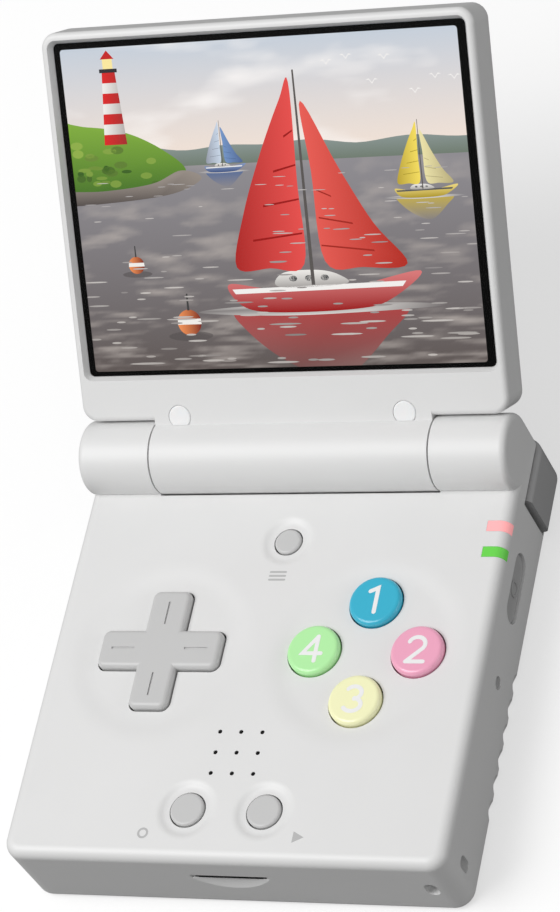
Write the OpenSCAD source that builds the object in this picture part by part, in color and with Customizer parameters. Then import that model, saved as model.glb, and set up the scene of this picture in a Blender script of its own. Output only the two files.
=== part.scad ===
// Clamshell handheld game console, lid open. All sizes in millimetres.
// Frame: +X to the player's right, +Y to the hinge side, +Z up from the table.
// The origin is the centre of the flat underside of the base.

/* [Base housing] */
// Width of the housing, left to right
base_w = 85; // [84:0.5:90]
// Depth of the housing, front to rear
base_d = 88; // [87:0.5:92]
// Height of the flat top above the table
base_h = 17.4; // [17.2:0.1:18.4]
// Radius of the upright corners
corner_r = 3.5; // [3:0.25:4]
// Round along the top edge
top_round = 2; // [1.6:0.1:2.4]
// Round along the bottom edge
bottom_round = 1.5; // [1:0.1:1.8]
// Wall of the moulded shells
wall = 1.6; // [1.4:0.1:1.8]
// Thickness of the top skin
top_skin = 1.8; // [1.6:0.1:2]
// Thickness of the floor
floor_skin = 1.6; // [1.4:0.1:1.8]
// Height of the joint line between the two base shells
seam_z = 2.4; // [2:0.1:3]

/* [Hinge] */
// Radius of the hinge barrel
barrel_r = 7; // [6.8:0.1:7.2]
// Height of the hinge axis above the top face
hinge_rise = 2.7; // [2.5:0.1:3]
// Length of each knuckle of the base
knuckle_len = 14.6; // [14:0.1:15.2]
// Gap between the lid's barrel and each knuckle of the base
knuckle_gap = 0.3; // [0.2:0.05:0.4]
// Gap between the barrel and the trough it turns in
trough_gap = 0.3; // [0.2:0.05:0.4]
// Angle of the open lid, from closed
open_angle = 136; // [100:1:160]
// Radius of the solid hinge pin
pin_r = 2; // [1.8:0.1:2.2]
// Outer radius of the hollow hinge sleeve that the display ribbon runs through
sleeve_r = 3.2; // [3:0.1:3.4]
// Wall of the hollow hinge sleeve
sleeve_wall = 0.8; // [0.6:0.1:1]
// Radial clearance of the hinge's running fits
running_gap = 0.05; // [0.03:0.01:0.08]
// Radius of the clutch and of the bush in the lid's barrel
cartridge_r = 4.6; // [4.4:0.1:4.8]
// Length of the clutch and of the bush
cartridge_len = 15; // [13:0.5:16]
// Round on the outer edge of the knuckles
knuckle_round = 1.2; // [0.8:0.1:1.5]

/* [Lid] */
// Distance from the hinge axis to the near edge of the lid
lid_start = 7.35; // [7.3:0.05:7.6]
// How far the lid's front edge lies behind the base's front edge when shut
lid_setback = 0.7; // [0.4:0.1:1]
// Height of the screen side of the lid above the hinge axis
lid_face = 2.5; // [2.45:0.01:2.55]
// Depth of the outer side of the lid below the hinge axis
lid_back = 6.6; // [6.4:0.1:6.8]
// Radius of the lid's corners
lid_corner_r = 3; // [2.5:0.25:3.5]
// Round along the lid's screen side
lid_front_round = 1; // [0.8:0.05:1.1]
// Round along the lid's outer side
lid_back_round = 1.8; // [1.4:0.1:2]
// Wall of the lid shells
lid_wall = 1.5; // [1.3:0.1:1.6]
// Joint line of the two lid shells, from the outer side
lid_seam = 2.2; // [2:0.1:2.6]

/* [Screen] */
// Rim of the lid beside the lens
lens_rim = 2.05; // [2.05:0.025:2.4]
// Rim of the lid above the lens
lens_top_rim = 2.1; // [1.9:0.05:2.4]
// Flat bezel below the lens
lens_chin = 8.5; // [8.2:0.1:9.3]
// How deep the lens lies below the bezel
lens_depth = 1.3; // [1.26:0.02:1.4]
// Thickness of the lens
lens_t = 1.2; // [1:0.05:1.3]
// Radius of the lens corners
lens_corner = 1; // [0.6:0.1:1.4]
// Width of the sloping border round the lens
lens_slope = 0.7; // [0.5:0.05:0.9]
// Thickness of the display module
lcd_t = 2.1; // [1.8:0.1:2.3]
// Diameter of the rubber bumpers
bumper_d = 4.4; // [4:0.1:4.8]
// Distance of each bumper from the end of the lid's barrel
bumper_in = 5.2; // [4:0.2:6]

/* [Direction pad] */
// Centre of the pad, from the left side
dpad_side = 22.3; // [21.6:0.1:22.8]
// Centre of the pad, in front of the middle
dpad_y = 2.5; // [2:0.1:3.5]
// Span across two opposite arms
dpad_span = 24; // [22.6:0.2:25]
// Width of an arm
dpad_arm = 7.7; // [7:0.1:8.2]
// Height of the pad above the top face
dpad_rise = 0.95; // [0.7:0.05:1]
// Radius of the flat middle of the pad's dish
dpad_dish_r = 13.3; // [13:0.1:13.5]
// Depth of the two dishes
dish_depth = 0.45; // [0.3:0.05:0.5]
// Width of the sloping rim of the two dishes
dish_slope = 5.4; // [4.6:0.1:5.6]

/* [Action buttons] */
// Centre of the cluster, from the right side
action_side = 22.6; // [22:0.1:23]
// Centre of the cluster, in front of the middle
action_y = 2.35; // [2:0.05:3.5]
// Distance of each button from the centre of the cluster
action_pitch = 9.95; // [9.8:0.05:10.4]
// Diameter of a button cap
action_d = 9.9; // [9.4:0.1:10.3]
// Height of the caps above the top face
action_rise = 0.8; // [0.5:0.05:0.9]
// Radius of the flat middle of the cluster's dish
action_dish_r = 14.2; // [13.6:0.1:14.4]
// Travel of the round buttons
button_travel = 0.6; // [0.4:0.05:0.7]

/* [Small buttons] */
// Diameter of the start and select caps
start_d = 6.4; // [6:0.1:6.8]
// Distance of the start and select buttons from the middle of the pair
start_x = 7.4; // [7:0.05:8]
// Middle of the pair, left of the centre line
start_mid = 0.35; // [0:0.05:0.6]
// Start and select buttons, behind the front edge
start_front = 9.85; // [9.6:0.05:10.4]
// Height of the start and select caps above the top face
start_rise = 0.1; // [0:0.05:0.4]
// Diameter of the menu cap
menu_d = 5.1; // [4.8:0.1:5.6]
// Menu button, in front of the hinge axis
menu_front = 16.7; // [16.4:0.1:17.4]
// Flat ring between a small button's hole and its sloping rim
rim_flat = 0.55; // [0.4:0.05:0.7]
// Width of the sloping rim of the small buttons
rim_w = 2; // [1.6:0.1:2.2]

/* [Speaker] */
// Speaker grille, left of the centre line
grille_x = 0.6; // [0:0.1:1]
// Speaker grille, behind the front edge
grille_front = 21.1; // [20.9:0.1:22]
// Pitch of the grille's holes
grille_pitch = 4.11; // [3.6:0.01:4.2]
// Diameter of a grille hole
grille_hole_d = 0.8; // [0.6:0.05:1]

/* [Sides] */
// Middle of the power key and of the volume key, in front of the rear edge
side_key_rear = 28.9; // [28.4:0.1:30]
// Height of the power key and of the volume key below the top face
side_key_drop = 8.5; // [8.4:0.05:9]
// Length of the power key
power_len = 13.4; // [12:0.2:14]
// Height of the power key
power_high = 4.9; // [4.6:0.1:5.4]
// Length of the volume key
volume_len = 15; // [13:0.2:16]
// Height of the volume key
volume_high = 3.6; // [3.2:0.1:4.2]
// Reset key, in front of the middle of the side
reset_y = 4; // [3:0.1:5]
// Diameter of the reset key
reset_d = 2; // [1.8:0.1:2.4]
// Number of grip notches along each lower edge
grip_count = 6; // [3:1:7]
// Pitch of the grip notches
grip_pitch = 5; // [4.6:0.1:5.2]
// First grip notch, behind the front edge
grip_front = 19; // [18:0.5:20]
// Width of the status windows
window_w = 2.05; // [1.6:0.05:2.2]
// Charge window, in front of the hinge axis
charge_front = 13.8; // [13.6:0.1:14.2]
// Power window, in front of the hinge axis
status_front = 19.1; // [18.5:0.1:20]

/* [Front] */
// Half width of the card slot
slot_half = 7.4; // [6.8:0.1:8]
// Height of the card slot below the top face
slot_drop = 6.85; // [6.8:0.05:6.9]
// Depth of the finger scoop below the slot
scoop_drop = 3.5; // [2.6:0.1:4]
// Distance of the strap tunnel from the corner
strap_r = 5; // [4.6:0.1:5.4]
// Width of the strap tunnel
strap_w = 2.4; // [2:0.1:2.8]

/* [Shoulder buttons] */
// Inner end of the outer shoulder button, from the side
shoulder_side = 12.6; // [12:0.1:12.9]
// Inner end of the inner shoulder button, from the side
inner_shoulder_side = 23.5; // [22.6:0.1:23.9]
// Front face of the outer shoulder button, from the hinge axis
shoulder_front = 5.7; // [5.2:0.1:6.2]
// How far the shoulder buttons stand proud
shoulder_proud = 1; // [0.7:0.1:1.2]
// Top of the outer shoulder button, below the top face
shoulder_drop = 5.1; // [4.9:0.1:5.6]
// Top of the inner shoulder button, below the top face
inner_shoulder_drop = 6.6; // [6.5:0.1:7.2]
// Underside of the shoulder buttons above the table
shoulder_low = 1.2; // [1.1:0.1:1.5]
// Travel of the shoulder buttons
shoulder_travel = 0.6; // [0.4:0.05:0.7]

/* [Ports] */
// Distance of the video port from the inner shoulder button
video_side = 6; // [5.8:0.1:6.6]
// Distance of the headphone jack from the inner shoulder button
jack_side = 5.4; // [5.3:0.1:6]
// Radius of the headphone jack's bore
jack_r = 1.8; // [1.78:0.01:1.85]
// Length of the headphone jack's bore
jack_len = 14; // [13:0.5:14]
// Top of the port board above the floor
port_board_z = 2.6; // [2.2:0.1:3]

/* [Hidden] */
$fn = 64;

shell_colour = [0.9, 0.9, 0.895];
shade_colour = [0.86, 0.86, 0.855];
key_colour = [0.79, 0.79, 0.785];
dark_key_colour = [0.6, 0.6, 0.6];
metal_colour = [0.72, 0.73, 0.75];
dark_metal_colour = [0.32, 0.33, 0.35];
board_colour = [0.06, 0.3, 0.16];
rubber_colour = [0.34, 0.35, 0.36];
foam_colour = [0.12, 0.12, 0.13];
black_colour = [0.05, 0.05, 0.055];
ribbon_colour = [0.8, 0.52, 0.16];

// A cut runs this much past the face it opens
past = 1;
// Clearance between a moving key and the hole that it moves in
key_gap = 0.25;
// Clearance between parts that are assembled and don't move
seat_gap = 0.1;

// Housing
inner_w = base_w - 2 * wall;
inner_d = base_d - 2 * wall;
inner_r = corner_r - wall;
side_x = base_w / 2;
rear_y = base_d / 2;
skin_under = base_h - top_skin;
shoulder_x = side_x - shoulder_side;
inner_shoulder_x = side_x - inner_shoulder_side;
shoulder_top = base_h - shoulder_drop;
inner_shoulder_top = base_h - inner_shoulder_drop;

// Hinge
hinge_y = rear_y - barrel_r;
hinge_z = base_h + hinge_rise;
knuckle_x = side_x - knuckle_len;
barrel_half = knuckle_x - knuckle_gap;
trough_r = barrel_r + trough_gap;
trough_skin = 1.4;
trough_z = hinge_z - trough_r;
knuckle_wall = 1.2;
pin_seat = 10;
pin_flat = 0.5;
sleeve_seat = 3.1;
cartridge_inset = 0.4;
cartridge_floor = 1.4;
cartridge_in = barrel_half - cartridge_inset - cartridge_len;
cartridge_out = barrel_half - cartridge_inset;
key_w = 1.2;

// Stack of controls under the top skin, from the board up
stack_h = 3;
board_top = skin_under - stack_h;
board_t = 1.2;
board_under = board_top - board_t;
board_margin = 0.9;
board_rear = hinge_y - 9.5;
sheet_t = 0.6;
flange_top = skin_under - key_gap - 0.05;
flange_t = 0.8;
flange_under = flange_top - flange_t;
flange_lip = 1;
dome_gap = 0.2;
dome_top = flange_under - button_travel - dome_gap;
dome_ratio = 0.34;
sheet_rim = 1.3;

// Direction pad
dpad_x = side_x - dpad_side;
pad_z = base_h + dpad_rise;
pad_corner = 1.5;
pad_round = 0.9;
pad_gap = 0.3;
pad_flange_r = 11;
pad_flange_top = skin_under - 0.7;
pad_flange_t = 0.7;
pad_flange_under = pad_flange_top - pad_flange_t;
pad_dome_gap = 0.8;
pivot_r = 1.5;
pivot_low = board_top + sheet_t + 0.25;

// Round buttons
action_x = side_x - action_side;
start_y = rear_y - start_front;
start_spots = [-start_x - start_mid, start_x - start_mid];
menu_y = hinge_y - menu_front;
grille_y = rear_y - grille_front;
rim_depth = 0.5;
menu_rise = 0;
cap_round = 0.8;
small_cap_round = 0.5;

// Screws
case_head_r = 1.9;
case_head_h = 1.2;
case_shank_r = 1;
case_screw_len = base_h - 8.4;
case_head_z = 0.6;
post_r = 2.6;
boss_r = 3.2;
boss_top = 4;
post_x = inner_w / 2 - post_r - 0.9;
post_rear_x = side_x - 15.5;
post_rear_y = hinge_y - 11.8;
post_front_y = 20 - rear_y;
post_nose_x = side_x - 20.5;
post_nose_y = -(inner_d / 2 - post_r - 1.2);
case_spots = [
    [post_rear_x, post_rear_y], [-post_rear_x, post_rear_y], [post_x, post_front_y],
    [-post_x, post_front_y], [post_nose_x, post_nose_y], [-post_nose_x, post_nose_y]
];
board_shank_r = 0.8;
board_head_r = 1.5;
board_head_h = 1;
board_post_r = 2;
board_screw_grip = 2.4;
board_spot_x = inner_w / 2 - 6.9;
board_spots = [
    [board_spot_x, post_rear_y - 12.2], [-board_spot_x, post_rear_y - 12.2],
    [board_spot_x, post_front_y + 7], [-board_spot_x, post_front_y + 7]
];

// Battery, between the bosses of the case screws
can_size = 22;
can_high = 2.1;
can_x = side_x - 20.5;
battery_gap = 0.2;
battery_w = inner_w - 29.8;
battery_d = inner_d - 44.8;
battery_t = board_under - floor_skin - can_high - 2.5;
battery_x = battery_w / 2 - (post_x - boss_r - battery_gap);
battery_y = battery_d / 2 - (inner_d / 2 - 14.4);

// Sides
side_key_y = rear_y - side_key_rear;
side_key_z = base_h - side_key_drop;
charge_y = hinge_y - charge_front;
status_y = hinge_y - status_front;
key_inset = 0.5;
key_flange_t = 0.9;
power_travel = 0.4;
volume_proud = 0.5;
volume_tilt_gap = 0.6;
reset_inset = 0.4;
window_depth = 1.2;
window_run = 4.2;
window_gap = 0.05;
stem_w = 1.8;
grip_r = 2.6;
grip_out = 1.6;
grip_z = 0.4;

// Front
slot_z = base_h - slot_drop;
slot_high = 1.2;
scoop_depth = 1;
card_w = 11.3;
card_t = 1.1;
card_len = 15.2;
strap_z = base_h / 2 - 0.4;
strap_high = 4;
strap_block_r = strap_r + strap_w / 2 + 1.6;

// Shoulder buttons
shoulder_gap = 0.3;
shoulder_wall = 1.6;
shoulder_y = hinge_y - shoulder_front;
pocket_front = shoulder_y - shoulder_travel - shoulder_gap;
shoulder_round = 1;
shoulder_corner = 3.5;
plunger_r = 1.5;
plunger_gap = 0.3;
switch_z = (shoulder_low + shoulder_top) / 2 - 0.55;
switch_side = 4.5;
switch_t = 3.4;
stem_r = 1.1;
stem_len = 0.9;
trigger_board_t = 1;
trigger_board_set = 8;
trigger_board_y = hinge_y - trigger_board_set;
plunger_y = trigger_board_y + trigger_board_t + switch_t + stem_len + shoulder_travel + plunger_gap;
outer_switch_in = 6.6;
inner_switch_in = 5;
outer_switch_x = shoulder_x + outer_switch_in;
inner_switch_x = inner_shoulder_x + inner_switch_in;

// Ports
port_board_t = 1;
port_top = floor_skin + port_board_z;
port_front_y = hinge_y - 6;
port_face_y = rear_y - 0.5;
usb_w = 9;
usb_h = 3.2;
video_w = 7.4;
video_h = 3.2;
video_x = inner_shoulder_x - video_side;
jack_x = inner_shoulder_x - jack_side;
jack_body_r = (trough_z - trough_skin - port_top) / 2 - 0.6;
jack_z = port_top + jack_body_r;
jack_corner = jack_body_r - 0.6;
port_post_x = inner_shoulder_x - 5.5;
port_post_r = 1.6;

// Lid, in its own frame: x across, v from the hinge axis, w out of the screen
lid_end = hinge_y + rear_y - lid_setback;
lid_len = lid_end - lid_start;
lid_mid = (lid_end + lid_start) / 2;
lid_t = lid_face + lid_back;
seam_w = lid_seam - lid_back;
lens_w = base_w - 2 * lens_rim;
lens_v0 = lid_start + lens_chin;
lens_v1 = lid_end - lens_top_rim;
lens_len = lens_v1 - lens_v0;
lens_mid = (lens_v0 + lens_v1) / 2;
lens_top = lid_face - lens_depth;
lens_under = lens_top - lens_t;
lens_gap = 0.07;
ledge_t = 0.7;
ledge_w = 0.5;
cavity_top = lens_under - ledge_t;
lid_cavity_w = base_w - 2 * lid_wall;
lid_cavity_v0 = lid_start + lid_wall;
lid_cavity_v1 = lid_end - lid_wall;
gasket_t = 0.3;
lcd_top = cavity_top - gasket_t;
lcd_under = lcd_top - lcd_t;
lcd_w = lid_cavity_w - 1;
lcd_v0 = lens_v0 - 0.6;
lcd_v1 = lid_cavity_v1 - 0.3;
lcd_lip = 0.8;
bumper_x = barrel_half - bumper_in;
bumper_v = lid_start + 0.7;
bumper_seat = 1.2;
bumper_proud = 0.15;
lid_head_r = 1.5;
lid_head_h = 1;
lid_shank_r = 1;
lid_screw_len = 6.6;
magnet_r = 2;
magnet_t = 2;
magnet_x = lid_cavity_w / 2 - 7;
magnet_v = lid_cavity_v0 + magnet_r + 0.3;
ribbon_r = 1.6;
ribbon_t = 0.3;
ribbon_w = 2.4;
ribbon_split = barrel_half - 7.6;
ribbon_in = cartridge_in - 0.6;
slot_gap = 0.3;
ribbon_break = 0.4;
ribbon_drop_x = knuckle_x + sleeve_seat + 0.2;

// Rectangle with round corners, centred
module rounded_rect(w, d, r) {
    square([w - 2 * r, d], center = true);
    square([w, d - 2 * r], center = true);
    for (x = [-1, 1], y = [-1, 1])
        translate([x * (w / 2 - r), y * (d / 2 - r)]) circle(r);
}

// Cross-section of a plate w wide and h high, with top and bottom edges rounded
module edge_profile(w, h, rt, rb) {
    translate([-w / 2, rb]) square([w, h - rt - rb]);
    translate([rt - w / 2, h / 2]) square([w - 2 * rt, h / 2]);
    translate([rb - w / 2, 0]) square([w - 2 * rb, h / 2]);
    for (side = [-1, 1]) {
        if (rt > 0) translate([side * (w / 2 - rt), h - rt]) circle(rt);
        if (rb > 0) translate([side * (w / 2 - rb), rb]) circle(rb);
    }
}

// Block with upright corners of radius r and rolled top and bottom edges
module rolled_block(w, d, h, r, rt, rb) {
    translate([0, d / 2 - r, 0]) rotate([90, 0, 0])
        linear_extrude(d - 2 * r) edge_profile(w, h, rt, rb);
    translate([r - w / 2, 0, 0]) rotate([90, 0, 90])
        linear_extrude(w - 2 * r) edge_profile(d, h, rt, rb);
    for (x = [-1, 1], y = [-1, 1])
        translate([x * (w / 2 - r), y * (d / 2 - r), 0]) rolled_disc(r, h, rt, rb);
}

// Disc with rolled top and bottom edges
module rolled_disc(r, h, rt, rb) {
    rotate_extrude() intersection() {
        edge_profile(2 * r, h, rt, rb);
        square([r, h]);
    }
}

// Cylinder along X
module bar_x(x0, x1, r) {
    translate([x0, 0, 0]) rotate([0, 90, 0]) cylinder(h = x1 - x0, r = r);
}

// Box from one corner to the other
module span(a, b) {
    translate(a) cube([b[0] - a[0], b[1] - a[1], b[2] - a[2]]);
}

// Round-ended slot, long along X, centred
module capsule(len, high) {
    square([len - high, high], center = true);
    for (x = [-1, 1]) translate([x * (len - high) / 2, 0]) circle(high / 2);
}

// Places its children on the hinge axis
module on_hinge() {
    translate([0, hinge_y, hinge_z]) children();
}

// Places its children in the lid's frame, with the lid open
module in_lid() {
    on_hinge() rotate([180 - open_angle, 0, 0]) children();
}

// Repeats its children on both sides
module both_sides() {
    children();
    mirror([1, 0, 0]) children();
}

// Outline laid on the right-hand side wall: its X runs along Y, its Y runs up
module on_side(y, z, x, depth) {
    translate([x, y, z]) rotate([90, 0, 90]) linear_extrude(depth) children();
}

module base_form() {
    rolled_block(base_w, base_d, base_h, corner_r, top_round, bottom_round);
}

// Half-round barrel end with a rolled outer edge, and the block behind it
module knuckle() {
    on_hinge() translate([knuckle_x, 0, 0]) rotate([0, 90, 0]) rotate_extrude() {
        square([barrel_r, knuckle_len - knuckle_round]);
        square([barrel_r - knuckle_round, knuckle_len]);
        translate([barrel_r - knuckle_round, knuckle_len - knuckle_round]) circle(knuckle_round);
    }
    block_z = shoulder_top + shoulder_gap;
    translate([knuckle_x, hinge_y, block_z]) linear_extrude(hinge_z - block_z) {
        square([knuckle_len - knuckle_round, barrel_r]);
        square([knuckle_len, barrel_r - knuckle_round]);
        translate([knuckle_len - knuckle_round, barrel_r - knuckle_round]) circle(knuckle_round);
    }
}

// The trough that the lid's barrel turns in, closed at both ends
module trough() {
    half = knuckle_x + knuckle_wall;
    intersection() {
        union() {
            on_hinge() bar_x(-half, half, trough_r + trough_skin);
            span([-half, hinge_y, trough_z - trough_skin], [half, rear_y - wall / 2, trough_z]);
        }
        span([-half, 0, 0], [half, rear_y - wall / 2, base_h - 0.5]);
    }
}

// Room for the lid's barrel and for the foot of the lid, from shut to flat open
module trough_cut() {
    on_hinge() bar_x(-knuckle_x, knuckle_x, trough_r);
    span([-knuckle_x, hinge_y, trough_z], [knuckle_x, rear_y + past, hinge_z + barrel_r]);
}

// Tunnel round the front right corner for a wrist strap
module strap_tunnel() {
    translate([side_x, -rear_y, strap_z]) rotate_extrude()
        translate([strap_r, 0]) rotate(90) capsule(strap_high, strap_w);
}

module strap_block() {
    intersection() {
        translate([0, 0, seam_z]) linear_extrude(base_h - seam_z - top_round)
            rounded_rect(base_w, base_d, corner_r);
        translate([side_x, -rear_y, 0]) cylinder(h = base_h, r = strap_block_r);
    }
}

module cross(span_w, arm, r) {
    rounded_rect(span_w, arm, r);
    rounded_rect(arm, span_w, r);
}

// Round dish of depth d in the top face: flat to radius r, then a soft slope of width w
module dish(r, w, d) {
    bend = (w * w + d * d) / (4 * d);
    translate([0, 0, base_h]) rotate_extrude() {
        translate([0, -d]) square([r, d + past]);
        intersection() {
            translate([r, bend - d]) circle(bend, $fn = 360);
            translate([r - past, -d]) square([past + w / 2, d + past]);
        }
        difference() {
            translate([r + w / 2, -d]) square([w / 2, d + past]);
            translate([r + w, -bend]) circle(bend, $fn = 360);
        }
    }
}

// Hole of a small round button, with its sloping rim
module small_button_cut(d) {
    hole = d / 2 + key_gap;
    cylinder(h = base_h, r = hole);
    dish(hole + rim_flat, rim_w, rim_depth);
}

module action_spots() {
    for (a = [0, 90, 180, 270])
        translate([action_x + action_pitch * cos(a), -action_y + action_pitch * sin(a), 0])
            children();
}

module control_cuts() {
    translate([-dpad_x, -dpad_y, 0]) {
        dish(dpad_dish_r, dish_slope, dish_depth);
        linear_extrude(base_h)
            cross(dpad_span + 2 * pad_gap, dpad_arm + 2 * pad_gap, pad_corner + pad_gap);
    }
    translate([action_x, -action_y, 0]) dish(action_dish_r, dish_slope, dish_depth);
    action_spots() cylinder(h = base_h, r = action_d / 2 + key_gap);
    for (x = start_spots) translate([x, -start_y, 0]) small_button_cut(start_d);
    translate([0, menu_y, 0]) small_button_cut(menu_d);
    for (i = [-1:1], j = [-1:1])
        translate([i * grille_pitch - grille_x, j * grille_pitch - grille_y, skin_under - past])
            cylinder(h = top_skin + 2 * past, d = grille_hole_d);
}

// Cross-section of a status window that wraps the top right edge
module window_profile(gap) {
    x = side_x - top_round;
    z = base_h - top_round;
    run = window_run - top_round;
    deep = window_depth + gap;
    translate([x, z]) intersection() {
        difference() {
            circle(top_round);
            circle(top_round - deep);
        }
        square(top_round);
    }
    translate([x - run - gap, base_h - deep]) square([run + gap, deep]);
    translate([x - stem_w - gap, board_top + 0.4])
        square([stem_w + 2 * gap, skin_under - board_top + deep - 0.4]);
}

module window_slice(y, gap) {
    translate([0, y + window_w / 2 + gap, 0]) rotate([90, 0, 0])
        linear_extrude(window_w + 2 * gap) window_profile(gap);
}

module side_cuts() {
    on_side(side_key_y, side_key_z, side_x - wall - past, wall + 2 * past)
        capsule(power_len + 2 * key_gap, power_high + 2 * key_gap);
    on_side(-reset_y, side_key_z, side_x - wall - past, wall + 2 * past)
        circle(reset_d / 2 + key_gap);
    mirror([1, 0, 0]) on_side(side_key_y, side_key_z, side_x - wall - past, wall + 2 * past)
        capsule(volume_len + 2 * key_gap, volume_high + 2 * key_gap);
    window_slice(charge_y, window_gap);
    window_slice(status_y, window_gap);
}

// Scallops along the lower edges
module grip_cuts() {
    both_sides() for (i = [0:grip_count - 1])
        translate([side_x + grip_out, i * grip_pitch + grip_front - rear_y, grip_z]) sphere(grip_r);
}

// Slot for the memory card, with a crescent scoop for the finger below it
module front_cuts() {
    low = slot_z - slot_high / 2;
    span([-slot_half, -rear_y - past, low], [slot_half, -rear_y + wall + past, low + slot_high]);
    rim = (slot_half * slot_half + scoop_drop * scoop_drop) / (2 * scoop_drop);
    drop = rim - scoop_drop;
    ball = ((rim * rim) - drop * drop) / (2 * scoop_depth);
    intersection() {
        translate([0, -rear_y - sqrt(ball * ball - rim * rim), low + drop]) sphere(ball);
        span([-rim, -rear_y - past, low - rim], [rim, -rear_y + wall, low + slot_high / 2]);
    }
}

// Openings of the shoulder buttons, right-hand side
module shoulder_pocket() {
    low = shoulder_low - shoulder_gap;
    span([shoulder_x - shoulder_gap, pocket_front, low],
        [side_x + past, rear_y + past, shoulder_top + shoulder_gap]);
    span([inner_shoulder_x - shoulder_gap, pocket_front, low],
        [shoulder_x, rear_y + past, inner_shoulder_top + shoulder_gap]);
}

module port_outline(w, h, gap) {
    capsule(w + 2 * gap, h + 2 * gap);
}

// Lays its outline children on the rear wall, from y rearwards
module on_rear(x, z, y, depth) {
    translate([x, y + depth, z]) rotate([90, 0, 0]) linear_extrude(depth) children();
}

module rear_cuts() {
    from = rear_y - wall - past;
    deep = wall + 2 * past;
    on_rear(0, port_top + usb_h / 2, from, deep) port_outline(usb_w, usb_h, key_gap);
    on_rear(-video_x, port_top + video_h / 2, from, deep) video_outline(key_gap);
    on_rear(jack_x, jack_z, from, deep)
        rounded_rect(2 * (jack_body_r + key_gap), 2 * (jack_body_r + key_gap), jack_corner);
}

// Mouth of the video port: a rectangle with its two lower corners cut off
module video_outline(gap) {
    w = video_w / 2 + gap;
    h = video_h / 2 + gap;
    cut = video_h * 0.4;
    polygon([[-w, h], [w, h], [w, -h + cut], [w - cut, -h], [cut - w, -h], [-w, -h + cut]]);
}

module base_top_shell() {
    color(shell_colour) difference() {
        union() {
            difference() {
                base_form();
                span([-base_w, -base_d, -past], [base_w, base_d, seam_z]);
                linear_extrude(skin_under) rounded_rect(inner_w, inner_d, inner_r);
            }
            both_sides() knuckle();
            trough();
            strap_block();
            for (p = case_spots)
                translate([p[0], p[1], boss_top]) cylinder(h = base_h - boss_top - 1, r = post_r);
            for (p = board_spots)
                translate([p[0], p[1], board_top]) cylinder(h = stack_h + 0.5, r = board_post_r);
        }
        trough_cut();
        control_cuts();
        side_cuts();
        front_cuts();
        rear_cuts();
        strap_tunnel();
        grip_cuts();
        both_sides() shoulder_pocket();
        hinge_bores();
        for (p = case_spots) translate([p[0], p[1], 0])
            cylinder(h = case_head_z + case_head_h + case_screw_len, r = case_shank_r + window_gap);
        for (p = board_spots) translate([p[0], p[1], 0])
            cylinder(h = board_top + stack_h - 0.4, r = board_shank_r + window_gap);
    }
}

// Seats of the pin and of the sleeve in the knuckles, each with its locking flat
module hinge_bores() {
    on_hinge() {
        difference() {
            bar_x(knuckle_x - past, knuckle_x + pin_seat + seat_gap, pin_r + window_gap);
            span([knuckle_x - 2 * past, -pin_r - past, pin_r - pin_flat + window_gap],
                [knuckle_x + pin_seat + past, pin_r + past, pin_r + past]);
        }
        difference() {
            bar_x(-knuckle_x - sleeve_seat, past - knuckle_x, sleeve_r + window_gap);
            span([-knuckle_x - sleeve_seat - past, -sleeve_r - past, sleeve_r - pin_flat + window_gap],
                [2 * past - knuckle_x, sleeve_r + past, sleeve_r + past]);
        }
        span([-ribbon_drop_x - ribbon_w - 0.4, -ribbon_r - 0.3, -hinge_z + board_top],
            [-knuckle_x - sleeve_seat, ribbon_r + 0.3, ribbon_r + 0.3]);
    }
}

module base_bottom_shell() {
    color(shell_colour) difference() {
        union() {
            difference() {
                intersection() {
                    base_form();
                    span([-base_w, -base_d, -past], [base_w, base_d, seam_z]);
                }
                translate([0, 0, floor_skin]) linear_extrude(base_h)
                    rounded_rect(inner_w, inner_d, inner_r);
            }
            locating_lip();
            battery_ribs();
            for (p = case_spots) translate([p[0], p[1], floor_skin / 2])
                cylinder(h = boss_top - floor_skin / 2, r = boss_r);
            both_sides() trigger_rib();
            port_posts();
        }
        for (p = case_spots) translate([p[0], p[1], -past]) {
            cylinder(h = past + case_head_z + case_head_h, r = case_head_r + 0.2);
            cylinder(h = base_h, r = case_shank_r + 0.15);
        }
        grip_cuts();
        both_sides() shoulder_pocket();
    }
}

// Lip that locates the upper shell on the lower one
module locating_lip() {
    lip_t = 0.8;
    lip_h = 1.2;
    w = inner_w - 2 * seat_gap;
    d = inner_d - 2 * seat_gap;
    difference() {
        translate([0, 0, floor_skin - 0.2]) linear_extrude(seam_z - floor_skin + 0.2 + lip_h)
            difference() {
                rounded_rect(w, d, inner_r - seat_gap);
                rounded_rect(w - 2 * lip_t, d - 2 * lip_t, inner_r - seat_gap - lip_t);
            }
        translate([side_x, -rear_y, 0]) cylinder(h = base_h, r = strap_block_r + seat_gap);
        span([-inner_shoulder_x, hinge_y, 0], [inner_shoulder_x, rear_y, base_h]);
    }
}

// Low walls round the battery
module battery_ribs() {
    gap = 0.3;
    rib = 1;
    rib_h = 2.5;
    run = 9;
    x0 = battery_w / 2 + gap;
    y0 = battery_d / 2 + gap;
    corner = [x0 + rib, y0 + rib, rib_h];
    translate([battery_x, battery_y, floor_skin - 0.2])
        for (a = [0, 1], b = [0, 1]) mirror([a, 0, 0]) mirror([0, b, 0]) {
            span([x0, y0 - run, 0], corner);
            span([x0 - run, y0, 0], corner);
        }
}

// Rib that backs the trigger board
module trigger_rib() {
    span([inner_shoulder_x + 2, trigger_board_y - 1, floor_skin - 0.2],
        [shoulder_x + 6, trigger_board_y, floor_skin + 3]);
}

// Posts that carry the port board
module port_posts() {
    for (x = [-port_post_x, port_post_x]) translate([x, port_front_y + 2, floor_skin - 0.2])
        cylinder(h = port_board_z - port_board_t + 0.2, r = port_post_r);
}

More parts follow.
